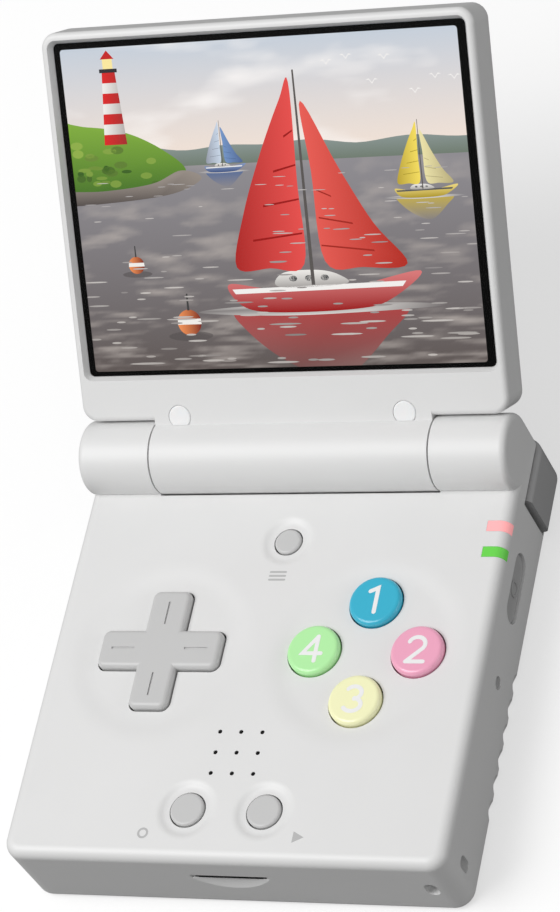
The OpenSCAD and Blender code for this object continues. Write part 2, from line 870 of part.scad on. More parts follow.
module case_screws() {
    color(metal_colour) for (p = case_spots) translate([p[0], p[1], case_head_z]) {
        rolled_disc(case_head_r, case_head_h, 0, 0.4);
        translate([0, 0, case_head_h]) cylinder(h = case_screw_len, r = case_shank_r);
    }
}

module main_board() {
    half_w = inner_w / 2 - board_margin;
    front = board_margin - inner_d / 2;
    color(board_colour) difference() {
        union() {
            translate([0, (board_rear + front) / 2, board_under]) linear_extrude(board_t)
                rounded_rect(2 * half_w, board_rear - front, 1.5);
            ribbon_connector();
        }
        for (p = case_spots) translate([p[0], p[1], 0]) cylinder(h = base_h, r = post_r + 0.4);
        for (x = [-post_nose_x, post_nose_x])
            span([x - post_r - 0.4, front - past, 0], [x + post_r + 0.4, post_nose_y, base_h]);
        for (p = board_spots) translate([p[0], p[1], 0]) cylinder(h = base_h, r = board_shank_r + 0.15);
        translate([side_x, -rear_y, 0]) cylinder(h = base_h, r = strap_block_r + 0.4);
    }
}

// Socket on the board that the display ribbon plugs into
module ribbon_connector() {
    span([-ribbon_drop_x - ribbon_w - 0.6, board_rear - 3.4, board_top - 0.1],
        [0.6 - ribbon_drop_x, board_rear - 0.4, board_top + 1.2]);
}

module board_screws() {
    color(metal_colour) for (p = board_spots) translate([p[0], p[1], board_under - board_head_h]) {
        rolled_disc(board_head_r, board_head_h, 0, 0.3);
        cylinder(h = board_head_h + board_t + board_screw_grip, r = board_shank_r);
    }
}

module shield_can() {
    color(metal_colour) translate([can_x, 0, board_under - can_high])
        rolled_block(can_size, can_size, can_high, 1, 0, 0.4);
}

module battery() {
    color(dark_metal_colour) translate([battery_x, battery_y, floor_skin])
        rolled_block(battery_w, battery_d, battery_t, 1.6, 1, 1);
}

speaker_w = 14;
speaker_d = 11;
gasket_h = 0.5;

module speaker() {
    high = stack_h - gasket_h;
    color(black_colour) translate([-grille_x, -grille_y, board_top]) difference() {
        rolled_block(speaker_w, speaker_d, high, 2, 0.4, 0.4);
        translate([0, 0, high - 0.4]) linear_extrude(1)
            rounded_rect(speaker_w - 2.4, speaker_d - 2.4, 1.4);
    }
}

module speaker_gasket() {
    color(foam_colour) translate([-grille_x, -grille_y, skin_under - gasket_h])
        linear_extrude(gasket_h) difference() {
            rounded_rect(speaker_w - 0.8, speaker_d - 0.8, 1.6);
            rounded_rect(speaker_w - 2.6, speaker_d - 2.6, 1);
        }
}

// Rubber dome of radius r on a membrane
module dome(r, top) {
    translate([0, 0, board_top]) cylinder(h = top - board_top, r1 = r, r2 = r * 0.7);
}

module membrane_sheet(w, d, r) {
    translate([0, 0, board_top]) linear_extrude(sheet_t) rounded_rect(w, d, r);
}

module dpad_membrane() {
    reach = dpad_span / 3;
    color(rubber_colour) translate([-dpad_x, -dpad_y, 0]) {
        membrane_sheet(dpad_span, dpad_span, 4);
        for (a = [0:90:270]) rotate(a) translate([reach, 0, 0])
            dome(dpad_arm * dome_ratio, pad_flange_under - pad_dome_gap);
    }
}

module action_membrane() {
    color(rubber_colour) {
        translate([action_x, -action_y, board_top])
            cylinder(h = sheet_t, r = action_pitch + action_d / 2 + 0.8);
        action_spots() dome(action_d * dome_ratio, dome_top);
    }
}

module start_select_membrane() {
    color(rubber_colour) {
        deep = start_d + 2 * sheet_rim;
        translate([-start_mid, -start_y, 0]) membrane_sheet(2 * start_x + deep, deep, deep / 3);
        for (x = start_spots) translate([x, -start_y, 0]) dome(start_d * dome_ratio, dome_top);
    }
}

module menu_membrane() {
    wide = menu_d + 2 * sheet_rim;
    color(rubber_colour) translate([0, menu_y, 0]) {
        membrane_sheet(wide, wide, wide / 4);
        dome(menu_d * dome_ratio, dome_top);
    }
}

module charge_light_pipe() {
    color([1, 0.68, 0.68]) window_slice(charge_y, 0);
}

module power_light_pipe() {
    color([0.42, 0.82, 0.33]) window_slice(status_y, 0);
}

module port_board() {
    rear = port_face_y - 1.5;
    color(board_colour) translate([0, (port_front_y + rear) / 2, port_top - port_board_t])
        linear_extrude(port_board_t)
            rounded_rect(2 * (inner_shoulder_x - 2.2), rear - port_front_y, 1);
}

module usb_c_port() {
    deep = 7;
    tongue = 0.7;
    color(metal_colour) {
        difference() {
            on_rear(0, port_top + usb_h / 2, port_face_y - deep, deep) port_outline(usb_w, usb_h, 0);
            on_rear(0, port_top + usb_h / 2, port_face_y - deep + 1, deep) port_outline(usb_w, usb_h, -0.3);
        }
        span([2 - usb_w / 2, port_face_y - deep + 0.5, port_top + usb_h / 2 - tongue / 2],
            [usb_w / 2 - 2, port_face_y - 0.6, port_top + usb_h / 2 + tongue / 2]);
    }
}

module video_port() {
    deep = 7;
    z = port_top + video_h / 2;
    color(metal_colour) {
        difference() {
            on_rear(-video_x, z, port_face_y - deep, deep) video_outline(0);
            on_rear(-video_x, z, port_face_y - deep + 1, deep) video_outline(-0.35);
        }
        span([-video_w / 4 - video_x, port_face_y - deep + 0.5, z],
            [video_w / 4 - video_x, port_face_y - 0.8, z + 0.7]);
    }
}

// Round jack with a true bore, its block behind the wall and its ring in the wall
module headphone_jack() {
    depth = jack_len - 1;
    front = port_face_y - jack_len;
    low = port_top;
    color(black_colour) difference() {
        union() {
            on_rear(jack_x, jack_z, front, jack_len) circle(jack_body_r);
            span([jack_x - jack_body_r, max(front, port_front_y), low],
                [jack_x + jack_body_r, rear_y - wall - seat_gap, jack_z]);
        }
        translate([jack_x, port_face_y + past, jack_z]) rotate([90, 0, 0])
            cylinder(h = depth + past, r = jack_r);
    }
}

// Spring-loaded holder for a memory card, under the main board
module card_socket() {
    w = card_w / 2 + 1.4;
    front = -(rear_y - wall - seat_gap);
    rear = front + card_len;
    color(metal_colour) difference() {
        span([-w, front, slot_z - 0.9], [w, rear, board_under]);
        span([-card_w / 2, front - past, slot_z - card_t / 2],
            [card_w / 2, rear - 1.2, slot_z + card_t / 2]);
    }
}

// Upright board with the two tact switches of one side
module trigger_board() {
    front = trigger_board_y + trigger_board_t;
    color(board_colour) span([inner_shoulder_x + 1, trigger_board_y, floor_skin],
        [outer_switch_x + 3.2, front, switch_z + 3.4]);
    color(metal_colour) for (x = [inner_switch_x, outer_switch_x]) translate([x, front, switch_z]) {
        span([-switch_side / 2, -0.1, -switch_side / 2], [switch_side / 2, switch_t, switch_side / 2]);
        translate([0, switch_t + stem_len, 0]) rotate([90, 0, 0])
            cylinder(h = stem_len + 0.5, r = stem_r);
    }
}

module trigger_board_right() {
    trigger_board();
}

module trigger_board_left() {
    mirror([1, 0, 0]) trigger_board();
}

key_back = side_x - wall - key_gap - key_flange_t;
side_switch_x = key_back - 1.4;

// Switches of the side keys, hung from the main board
module side_switches() {
    body = 2.4;
    color(metal_colour) {
        for (y = [side_key_y, -reset_y])
            span([side_switch_x - body, y - 2, side_key_z - 1.2], [side_switch_x, y + 2, board_under]);
        for (y = [side_key_y - 4.5, side_key_y + 4.5])
            span([0.2 - side_switch_x, y - 2, side_key_z - 1.2],
                [body + 0.2 - side_switch_x, y + 2, board_under]);
    }
}

module hinge_pin_right() {
    end = knuckle_x + pin_seat;
    inner = cartridge_in + cartridge_floor + 0.3;
    color(metal_colour) on_hinge() difference() {
        bar_x(inner, end, pin_r);
        span([knuckle_x, -pin_r - past, pin_r - pin_flat], [end + past, pin_r + past, pin_r + past]);
    }
}

module hinge_sleeve_left() {
    end = knuckle_x + sleeve_seat - 0.05;
    inner = cartridge_in + 0.3;
    color(metal_colour) on_hinge() difference() {
        bar_x(-end, -inner, sleeve_r);
        bar_x(-end - past, past - inner, sleeve_r - sleeve_wall);
        span([-end - past, -sleeve_r - past, sleeve_r - pin_flat],
            [-knuckle_x, sleeve_r + past, sleeve_r + past]);
    }
}

// Rolled ribbon through the sleeve, down the knuckle and along to the board
module display_ribbon_base() {
    outer = ribbon_drop_x + ribbon_w;
    low = board_top + 0.3 - hinge_z;
    color(ribbon_colour) on_hinge() {
        bar_x(-outer, -ribbon_split - ribbon_break, ribbon_r);
        span([-outer, -ribbon_t, low], [-ribbon_drop_x, 0, 0]);
        span([-outer, board_rear - 0.4 - hinge_y, low], [-ribbon_drop_x, 0, low + ribbon_t]);
    }
}

module display_ribbon_lid() {
    right = ribbon_w - ribbon_in;
    under = lcd_under - ribbon_t - 0.1;
    color(ribbon_colour) in_lid() {
        bar_x(-ribbon_split, right, ribbon_r);
        span([-ribbon_in, -ribbon_t, under], [right, 0, 0]);
        span([-ribbon_in, -ribbon_t, under], [right, lcd_v0 + 6, under + ribbon_t]);
    }
}

// Cross-shaped pad with a rolled edge and a line on each arm
module d_pad() {
    high = pad_z - pad_flange_top;
    line_in = dpad_arm * 0.65;
    line_out = dpad_span * 0.4;
    color(key_colour) translate([-dpad_x, -dpad_y, 0]) difference() {
        union() {
            translate([0, 0, pad_flange_top - 0.1]) {
                rolled_block(dpad_span, dpad_arm, high + 0.1, pad_corner, pad_round, 0);
                rolled_block(dpad_arm, dpad_span, high + 0.1, pad_corner, pad_round, 0);
            }
            translate([0, 0, pad_flange_under]) cylinder(h = pad_flange_t, r = pad_flange_r);
        }
        for (a = [0:90:270]) rotate(a)
            span([line_in, -0.2, pad_z - 0.25], [line_out, 0.2, pad_z + past]);
        translate([0, 0, pad_flange_under - past]) cylinder(h = past + 1.2, r = pivot_r + 0.3);
    }
}

// Post that the pad rocks on
module d_pad_pivot() {
    top = pad_flange_under + 0.9;
    color(metal_colour) translate([-dpad_x, -dpad_y, pivot_low])
        rolled_disc(pivot_r, top - pivot_low, 0.7, 0);
}

// Round cap with a rolled edge, a flange below the skin and two keying ears
module round_button(d, rise, edge, turn) {
    top = base_h + rise;
    translate([0, 0, flange_under]) {
        rolled_disc(d / 2, top - flange_under, edge, 0);
        cylinder(h = flange_t, r = d / 2 + flange_lip);
        rotate(turn) span([-0.8, 0, 0], [0.8, d / 2 + flange_lip + 0.4, flange_t]);
        rotate(turn + 180) span([-0.8, 0, 0], [0.8, d / 2 + flange_lip + 0.4, flange_t]);
    }
}

module action_button(angle) {
    translate([action_x + action_pitch * cos(angle), -action_y + action_pitch * sin(angle), 0])
        round_button(action_d, action_rise, cap_round, angle);
}

module button_a() {
    color([0.96, 0.64, 0.78]) action_button(0);
}

module button_x() {
    color([0.26, 0.7, 0.81]) action_button(90);
}

module button_y() {
    color([0.71, 0.95, 0.67]) action_button(180);
}

module button_b() {
    color([0.99, 0.97, 0.71]) action_button(270);
}

module menu_button() {
    color(key_colour) translate([0, menu_y, 0]) round_button(menu_d, menu_rise, small_cap_round, 0);
}

module start_button() {
    color(key_colour) translate([start_spots[1], -start_y, 0])
        round_button(start_d, start_rise, small_cap_round, 90);
}

module select_button() {
    color(key_colour) translate([start_spots[0], -start_y, 0])
        round_button(start_d, start_rise, small_cap_round, 90);
}

// Plunger from a shoulder button's rear wall to its switch
module shoulder_plunger(x, from) {
    translate([x, from, switch_z]) rotate([90, 0, 0]) cylinder(h = from - plunger_y, r = plunger_r);
}

// Hollow cap that wraps the rear corner
module outer_shoulder() {
    high = shoulder_top - shoulder_low;
    out_x = side_x + shoulder_proud;
    out_y = rear_y + shoulder_proud;
    inner_y = out_y - shoulder_wall;
    difference() {
        intersection() {
            translate([0, 0, shoulder_low])
                rolled_block(2 * out_x, 2 * out_y, high, shoulder_corner, shoulder_round, shoulder_round);
            span([shoulder_x, shoulder_y, 0], [out_x + past, out_y + past, base_h]);
        }
        span([shoulder_x + shoulder_wall, 0, shoulder_low + shoulder_wall],
            [out_x - shoulder_wall, inner_y, shoulder_top - shoulder_wall]);
    }
    shoulder_plunger(outer_switch_x, inner_y + 0.1);
}

// Cap in the rear wall, with its flange behind the wall
module inner_shoulder() {
    right = shoulder_x - 1;
    w = right - inner_shoulder_x;
    high = inner_shoulder_top - shoulder_low;
    out_y = rear_y + shoulder_proud;
    flange_y = rear_y - wall - shoulder_gap;
    translate([inner_shoulder_x + w / 2, out_y, shoulder_low + high / 2]) rotate([90, 0, 0])
        rolled_block(w, high, out_y - flange_y, 1, 0, 0.8);
    span([inner_shoulder_x - 1, flange_y - 0.9, shoulder_low + 0.6],
        [right, flange_y + 0.1, inner_shoulder_top]);
    shoulder_plunger(inner_switch_x, flange_y - 0.8);
}

module shoulder_r1() {
    color(dark_key_colour) outer_shoulder();
}

module shoulder_r2() {
    color(dark_key_colour) inner_shoulder();
}

module shoulder_l1() {
    color(dark_key_colour) mirror([1, 0, 0]) outer_shoulder();
}

module shoulder_l2() {
    color(dark_key_colour) mirror([1, 0, 0]) inner_shoulder();
}

// Flat key in its recess, with a raised ring
module power_button() {
    face = side_x - key_inset;
    cap = key_back + key_flange_t - 0.05;
    ring = power_high * 0.28;
    color(key_colour) difference() {
        union() {
            on_side(side_key_y, side_key_z, cap, face - cap) capsule(power_len, power_high);
            on_side(side_key_y, side_key_z, key_back, key_flange_t)
                square([power_len + 2, power_high - 1.2], center = true);
            on_side(side_key_y, side_key_z, key_back - 0.7, 0.8) circle(1.5);
            on_side(side_key_y, side_key_z, face - 0.1, 0.3) circle(ring + 0.25);
        }
        on_side(side_key_y, side_key_z, face, past) circle(ring - 0.25);
    }
}

module reset_button() {
    face = side_x - reset_inset;
    color(dark_key_colour) {
        on_side(-reset_y, side_key_z, key_back, face - key_back) circle(reset_d / 2);
        on_side(-reset_y, side_key_z, key_back - 0.7, key_flange_t + 0.7) circle(reset_d / 2 + 0.7);
    }
}

// Rocking key for the volume, pivoted at its middle
module volume_rocker() {
    face = side_x + volume_proud;
    back = side_x - wall - volume_tilt_gap - key_flange_t;
    color(key_colour) mirror([1, 0, 0]) difference() {
        union() {
            translate([back, side_key_y, side_key_z]) rotate([90, 0, 90])
                rolled_block(volume_len, volume_high, face - back, volume_high / 2 - 0.1, 0.5, 0);
            on_side(side_key_y, side_key_z, back, key_flange_t)
                square([volume_len + 1.6, volume_high - 0.6], center = true);
        }
        on_side(side_key_y, side_key_z, face - 0.3, past) capsule(volume_len * 0.3, volume_high * 0.3);
    }
}

module lid_form() {
    translate([0, lid_mid, -lid_back])
        rolled_block(base_w, lid_len, lid_t, lid_corner_r, lid_front_round, lid_back_round);
}

// Foot that joins the lid to its barrel
module lid_foot() {
    span([-barrel_half, 0, -lid_back], [barrel_half, lid_start + lid_wall, lid_face]);
}

module lens_plate(grow, t) {
    linear_extrude(t) rounded_rect(lens_w + 2 * grow, lens_len + 2 * grow, lens_corner + grow);
}

// Sloping border round the lens, widest at the bezel's face
module lens_border() {
    rise = lens_depth + past;
    low = lens_corner + lens_gap;
    high = low + (lens_slope - lens_gap) * rise / lens_depth;
    x = lens_w / 2 - lens_corner;
    y = lens_len / 2 - lens_corner;
    translate([0, lens_mid, lens_top]) {
        for (a = [-1, 1], b = [-1, 1])
            translate([a * x, b * y, 0]) cylinder(h = rise, r1 = low, r2 = high);
        translate([0, y, 0]) rotate([90, 0, 0]) linear_extrude(2 * y)
            polygon([[-x - low, 0], [x + low, 0], [x + high, rise], [-x - high, rise]]);
        translate([-x, 0, 0]) rotate([90, 0, 90]) linear_extrude(2 * x)
            polygon([[-y - low, 0], [y + low, 0], [y + high, rise], [-y - high, rise]]);
    }
}

module lid_front_bezel() {
    color(shade_colour) in_lid() difference() {
        union() {
            intersection() {
                union() {
                    lid_form();
                    lid_foot();
                }
                span([-base_w, -1, seam_w], [base_w, lid_end + past, lid_face + past]);
            }
            bar_x(-barrel_half, barrel_half, barrel_r);
        }
        span([-lid_cavity_w / 2, lid_cavity_v0, seam_w - past],
            [lid_cavity_w / 2, lid_cavity_v1, cavity_top]);
        translate([0, lens_mid, cavity_top - past]) lens_plate(-ledge_w, 3 * past);
        translate([0, lens_mid, lens_under]) lens_plate(lens_gap, lens_t + past);
        lens_border();
        cartridge_bores();
        bumper_cuts();
    }
}

// Bores of the barrel for the clutch, the bush and the ribbon
module cartridge_bores() {
    both_sides() difference() {
        bar_x(cartridge_in - seat_gap, barrel_half + past, cartridge_r + window_gap);
        cartridge_key(window_gap);
    }
    right = ribbon_w + slot_gap - ribbon_in;
    span([-cartridge_in, -ribbon_r - slot_gap, -ribbon_r - slot_gap],
        [right, ribbon_r + slot_gap, ribbon_r + slot_gap]);
    span([-ribbon_in - slot_gap, -ribbon_t - slot_gap, lcd_under - ribbon_t - slot_gap - 0.1],
        [right, lid_cavity_v0 + past, slot_gap]);
}

// Key along the barrel's bore that stops a cartridge from turning
module cartridge_key(gap) {
    span([cartridge_in - past, gap - key_w, cartridge_r - pin_flat + gap],
        [barrel_half + 2 * past, -gap, cartridge_r + past]);
}

// Seats of the bumpers, with the screws below them
module bumper_cuts() {
    for (x = [-bumper_x, bumper_x]) translate([x, bumper_v, 0]) {
        translate([0, 0, lid_face - bumper_seat - lid_head_h])
            cylinder(h = lid_head_h + bumper_seat, r = lid_head_r + 0.1);
        translate([0, 0, -lid_back]) cylinder(h = lid_back + lid_face, r = lid_shank_r + 0.15);
    }
    difference() {
        for (x = [-bumper_x, bumper_x]) translate([x, bumper_v, lid_face - bumper_seat])
            cylinder(h = bumper_seat + past, d = bumper_d + 2 * window_gap);
        bar_x(-barrel_half, barrel_half, barrel_r);
    }
}

module lid_back_cover() {
    color(shell_colour) in_lid() difference() {
        intersection() {
            union() {
                lid_form();
                lid_foot();
            }
            span([-base_w, -1, -lid_back - past], [base_w, lid_end + past, seam_w]);
        }
        span([-lid_cavity_w / 2, lid_cavity_v0 + 2.5, lid_wall - lid_back],
            [lid_cavity_w / 2, lid_cavity_v1, seam_w + past]);
        bar_x(-barrel_half - past, barrel_half + past, barrel_r + window_gap);
        span([-base_w, -2 * past, -lid_back - past], [base_w, 1, seam_w + past]);
        for (x = [-bumper_x, bumper_x]) translate([x, bumper_v, seam_w - 1.7])
            cylinder(h = 3, r = lid_shank_r + window_gap);
    }
}

module screen_lens() {
    color([0.1, 0.12, 0.14, 0.6]) in_lid() translate([0, lens_mid, lens_under]) lens_plate(0, lens_t);
}

module lcd_panel() {
    mid = (lcd_v0 + lcd_v1) / 2;
    color([0.12, 0.13, 0.16]) in_lid() translate([0, mid, lcd_under])
        rolled_block(lcd_w, lcd_v1 - lcd_v0, lcd_t, 1, 0.2, 0.2);
}

module lcd_gasket() {
    mid = (lcd_v0 + lcd_v1) / 2;
    color(foam_colour) in_lid() translate([0, mid, lcd_top]) linear_extrude(gasket_t)
        difference() {
            rounded_rect(lcd_w, lcd_v1 - lcd_v0, 1);
            rounded_rect(lcd_w - 2 * lcd_lip, lcd_v1 - lcd_v0 - 2 * lcd_lip, 0.6);
        }
}

module lid_bumpers() {
    color([0.97, 0.97, 0.97]) in_lid() difference() {
        for (x = [-bumper_x, bumper_x]) translate([x, bumper_v, lid_face - bumper_seat])
            rolled_disc(bumper_d / 2, bumper_seat + bumper_proud, 0.3, 0);
        bar_x(-barrel_half, barrel_half, barrel_r + window_gap);
    }
}

module lid_screws() {
    color(metal_colour) in_lid() for (x = [-bumper_x, bumper_x])
        translate([x, bumper_v, lid_face - bumper_seat - lid_head_h]) {
            rolled_disc(lid_head_r, lid_head_h, 0.3, 0);
            translate([0, 0, lid_head_h / 2 - lid_screw_len]) cylinder(h = lid_screw_len, r = lid_shank_r);
        }
}

module lid_magnet() {
    color(metal_colour) in_lid() translate([magnet_x, magnet_v, cavity_top - magnet_t])
        cylinder(h = magnet_t, r = magnet_r);
}

// Cartridge that holds the lid at any angle by friction
module hinge_clutch() {
    color(dark_metal_colour) in_lid() difference() {
        bar_x(cartridge_in, cartridge_out, cartridge_r);
        bar_x(cartridge_in + cartridge_floor, cartridge_out + past, pin_r + running_gap);
        cartridge_key(0);
        for (i = [0:2]) translate([cartridge_in + 3 + 4 * i, 0, 0]) rotate([0, 90, 0]) rotate_extrude()
            translate([cartridge_r - 0.4, 0]) square([1, 0.8]);
    }
}

module hinge_bush_left() {
    color([0.85, 0.83, 0.76]) in_lid() difference() {
        bar_x(-cartridge_out, -cartridge_in, cartridge_r);
        bar_x(-cartridge_out - past, past - cartridge_in, sleeve_r + running_gap);
        mirror([1, 0, 0]) cartridge_key(0);
    }
}

base_top_shell();
base_bottom_shell();
case_screws();
main_board();
board_screws();
shield_can();
battery();
speaker();
speaker_gasket();
dpad_membrane();
action_membrane();
start_select_membrane();
menu_membrane();
charge_light_pipe();
power_light_pipe();
port_board();
usb_c_port();
video_port();
headphone_jack();
card_socket();
trigger_board_left();
trigger_board_right();
side_switches();
hinge_pin_right();
hinge_sleeve_left();
display_ribbon_base();
d_pad();
d_pad_pivot();
button_a();
button_b();
button_x();
button_y();
menu_button();
start_button();
select_button();
shoulder_l1();
shoulder_l2();
shoulder_r1();
shoulder_r2();
power_button();
reset_button();
volume_rocker();
lid_front_bezel();
lid_back_cover();
screen_lens();
lcd_panel();
lcd_gasket();
lid_bumpers();
lid_screws();
lid_magnet();
hinge_clutch();
hinge_bush_left();
display_ribbon_lid();
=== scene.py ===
# Clamshell handheld game console with its lid open: materials, prints, display picture, stage.
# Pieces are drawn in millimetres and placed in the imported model's frame, which is in metres.

import math
import random

import bpy
from mathutils import Matrix, Vector, noise


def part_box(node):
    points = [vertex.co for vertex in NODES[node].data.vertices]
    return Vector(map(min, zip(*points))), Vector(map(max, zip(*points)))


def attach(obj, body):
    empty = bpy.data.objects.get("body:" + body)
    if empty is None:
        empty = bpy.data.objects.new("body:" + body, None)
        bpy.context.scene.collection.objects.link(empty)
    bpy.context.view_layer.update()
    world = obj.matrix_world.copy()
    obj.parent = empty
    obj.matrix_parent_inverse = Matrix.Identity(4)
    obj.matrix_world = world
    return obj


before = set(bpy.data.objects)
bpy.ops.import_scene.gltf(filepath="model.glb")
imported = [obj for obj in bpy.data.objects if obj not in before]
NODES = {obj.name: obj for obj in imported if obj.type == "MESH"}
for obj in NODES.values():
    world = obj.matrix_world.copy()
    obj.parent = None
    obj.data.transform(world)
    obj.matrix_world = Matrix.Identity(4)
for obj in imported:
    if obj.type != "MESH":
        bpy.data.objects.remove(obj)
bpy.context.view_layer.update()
SCENE = bpy.context.scene
MM = 0.001

# The base's top face
FACE_Z = 17.4

# The lid's own frame: x across, v up the screen from the hinge, w out of it
HINGE = (0, 0.037, 0.0201)
OPEN_ANGLE = 136
LID = Matrix.Translation(HINGE) @ Matrix.Rotation(math.radians(180 - OPEN_ANGLE), 4, "X")

# The lens, the clear window left in its black border, and the lit picture behind
LENS_HALF = 40.44
LENS_LOW = 15.86
LENS_TOP = 78.19
LENS_CORNER = 1.0
WINDOW_HALF = 39.05
WINDOW_LOW = 16.7
WINDOW_TOP = 77.0
WINDOW_CORNER = 0.6
BORDER_W = 1.18
PICTURE_HALF = 39.3
PICTURE_LOW = 16.5
PICTURE_HIGH = 77.2
PICTURE_SHIFT = -0.2
PICTURE_W = 0.90
LAYER_STEP = 0.0035


# Materials

GRAIN_HEIGHT = 0.00002
SHADE_SCALE = 60.0
COAT_ROUGH = 0.1
EDGE = 0.00012


def fill(node, values):
    """Set inputs of a node by name."""
    for name, value in values.items():
        node.inputs[name].default_value = value
    return node


def links(tree, *pairs):
    for start, end in pairs:
        tree.links.new(start, end)


def noise_of(tree, coord, scale, detail):
    n = fill(tree.nodes.new("ShaderNodeTexNoise"), {"Scale": scale, "Detail": detail})
    links(tree, (coord, n.inputs["Vector"]))
    return n.outputs["Fac"]


def ranged(tree, value, low, high):
    n = fill(tree.nodes.new("ShaderNodeMapRange"), {"To Min": low, "To Max": high})
    links(tree, (value, n.inputs["Value"]))
    return n.outputs["Result"]


def new_material(name):
    material = bpy.data.materials.new(name)
    material.use_nodes = True
    tree = material.node_tree
    return material, tree, tree.nodes["Principled BSDF"]


def surface(name, colour, rough, grain=2600.0, grain_depth=0.012, vary=0.02, bevel=0.0,
            metal=0.0, coat=0.0, stretch=None, specular=0.5, sub=0.0):
    """A procedural material: colour and roughness vary softly, under a fine grain."""
    material, tree, p = new_material(name)
    fill(p, {"Metallic": metal, "Coat Weight": coat, "Coat Roughness": COAT_ROUGH,
             "Specular IOR Level": specular})
    if sub > 0:
        fill(p, {"Subsurface Weight": sub, "Subsurface Radius": (0.0012, 0.001, 0.0009),
                 "Subsurface Scale": 1.0})
    coord = tree.nodes.new("ShaderNodeTexCoord").outputs["Object"]
    if stretch:
        mapping = fill(tree.nodes.new("ShaderNodeMapping"), {"Scale": stretch})
        links(tree, (coord, mapping.inputs["Vector"]))
        coord = mapping.outputs["Vector"]
    soft = noise_of(tree, coord, SHADE_SCALE, 3.0)
    fine = noise_of(tree, coord, grain, 2.0)
    mix = tree.nodes.new("ShaderNodeMix")
    mix.data_type = "RGBA"
    fill(mix, {side: tuple(min(1.0, c * gain) for c in colour) + (1,)
               for side, gain in (("A", 1 - vary), ("B", 1 + vary))})
    bump = fill(tree.nodes.new("ShaderNodeBump"),
                {"Strength": grain_depth * 10, "Distance": GRAIN_HEIGHT})
    links(tree, (soft, mix.inputs["Factor"]), (mix.outputs["Result"], p.inputs["Base Color"]),
          (ranged(tree, soft, rough - 0.04, rough + 0.04), p.inputs["Roughness"]),
          (fine, bump.inputs["Height"]), (bump.outputs["Normal"], p.inputs["Normal"]))
    if bevel > 0:
        b = fill(tree.nodes.new("ShaderNodeBevel"), {"Radius": bevel})
        b.samples = 4
        links(tree, (b.outputs["Normal"], bump.inputs["Normal"]))
    return material


def glow(name):
    """Light from the display, coloured by the mesh's own colours."""
    material, tree, p = new_material(name)
    colour = tree.nodes.new("ShaderNodeVertexColor")
    colour.layer_name = "Col"
    fill(p, {"Base Color": (0.01, 0.01, 0.01, 1), "Roughness": 0.5, "Specular IOR Level": 0.0,
             "Emission Strength": 1.0})
    links(tree, (colour.outputs["Color"], p.inputs["Emission Color"]))
    return material


def clear_lens(name):
    """A thin clear cover: see-through, with a faint sheen that grows at low angles."""
    material, tree, p = new_material(name)
    tree.nodes.remove(p)
    through = tree.nodes.new("ShaderNodeBsdfTransparent")
    gloss = tree.nodes.new("ShaderNodeBsdfAnisotropic")
    edge = fill(tree.nodes.new("ShaderNodeFresnel"), {"IOR": 1.16})
    mix = tree.nodes.new("ShaderNodeMixShader")
    coord = tree.nodes.new("ShaderNodeTexCoord").outputs["Object"]
    smear = noise_of(tree, coord, 45.0, 2.0)
    links(tree, (ranged(tree, smear, 0.03, 0.07), gloss.inputs["Roughness"]),
          (edge.outputs[0], mix.inputs[0]), (through.outputs[0], mix.inputs[1]),
          (gloss.outputs[0], mix.inputs[2]),
          (mix.outputs[0], tree.nodes["Material Output"].inputs["Surface"]))
    return material


def lamp(name, colour, shine):
    """A light window: glossy tinted plastic that glows a little."""
    material = surface(name, colour, 0.25, grain=900.0, grain_depth=0.004, vary=0.05, coat=0.4)
    fill(material.node_tree.nodes["Principled BSDF"],
         {"Emission Color": colour + (1,), "Emission Strength": shine})
    return material


def cap_plastic(name, colour):
    return surface(name, colour, 0.30, grain_depth=0.004, coat=0.25)


SHELL = surface("shell_plastic", (0.80, 0.80, 0.797), 0.42, bevel=EDGE)
BEZEL = surface("bezel_plastic", (0.79, 0.79, 0.787), 0.42, bevel=EDGE)
KEY_GREY = surface("key_grey_plastic", (0.60, 0.60, 0.598), 0.40, bevel=EDGE)
KEY_SHADE = surface("key_shade_plastic", (0.47, 0.47, 0.47), 0.42, bevel=EDGE)
KEY_DARK = surface("key_dark_plastic", (0.43, 0.43, 0.432), 0.42, bevel=0.00015)
PINK = cap_plastic("key_pink_plastic", (0.954, 0.425, 0.593))
BLUE = cap_plastic("key_blue_plastic", (0.042, 0.49, 0.69))
GREEN = cap_plastic("key_green_plastic", (0.50, 0.958, 0.432))
YELLOW = cap_plastic("key_yellow_plastic", (1.0, 1.0, 0.60))
NUMBER_INK = surface("white_ink", (0.93, 0.93, 0.93), 0.35, grain_depth=0.003, vary=0.01)
MARK_INK = surface("mark_ink", (0.50, 0.50, 0.50), 0.55, grain_depth=0.01)
BLACK = surface("black_border", (0.001, 0.001, 0.001), 0.4, grain_depth=0.002, specular=0.05)
STEEL = surface("steel", (0.55, 0.56, 0.58), 0.32, metal=1.0, stretch=(1, 6, 1), bevel=0.0001)
DARK_STEEL = surface("dark_steel", (0.16, 0.165, 0.175), 0.4, metal=1.0)
# Black plastic of the speaker and headphone jack, also used as painted shade in the screw
# recesses and the card slot
BLACK_PLASTIC_AND_SHADE = surface("black_plastic", (0.012, 0.012, 0.013), 0.5, specular=0.3)
# Near-black sheet with a fine grain, for the painted shade in the speaker's holes
HOLE_SHADE_SHEET = surface("hole_shade_sheet", (0.012, 0.012, 0.012), 0.9, grain=6000.0, grain_depth=0.05,
                     specular=0.1)
BOARD = surface("board_green", (0.01, 0.09, 0.035), 0.35, coat=0.3)
SILICONE = surface("silicone", (0.14, 0.145, 0.15), 0.6, grain_depth=0.02)
FOAM = surface("foam", (0.02, 0.02, 0.022), 0.9, grain=900.0, grain_depth=0.08)
BUMPER = surface("bumper_rubber", (0.92, 0.92, 0.92), 0.5, vary=0.01, sub=0.2)
POUCH = surface("pouch", (0.12, 0.125, 0.13), 0.35, metal=0.6, grain=700.0, grain_depth=0.03)
RIBBON = surface("ribbon_film", (0.55, 0.22, 0.02), 0.35)
BUSH = surface("bush_acetal", (0.7, 0.67, 0.56), 0.4)
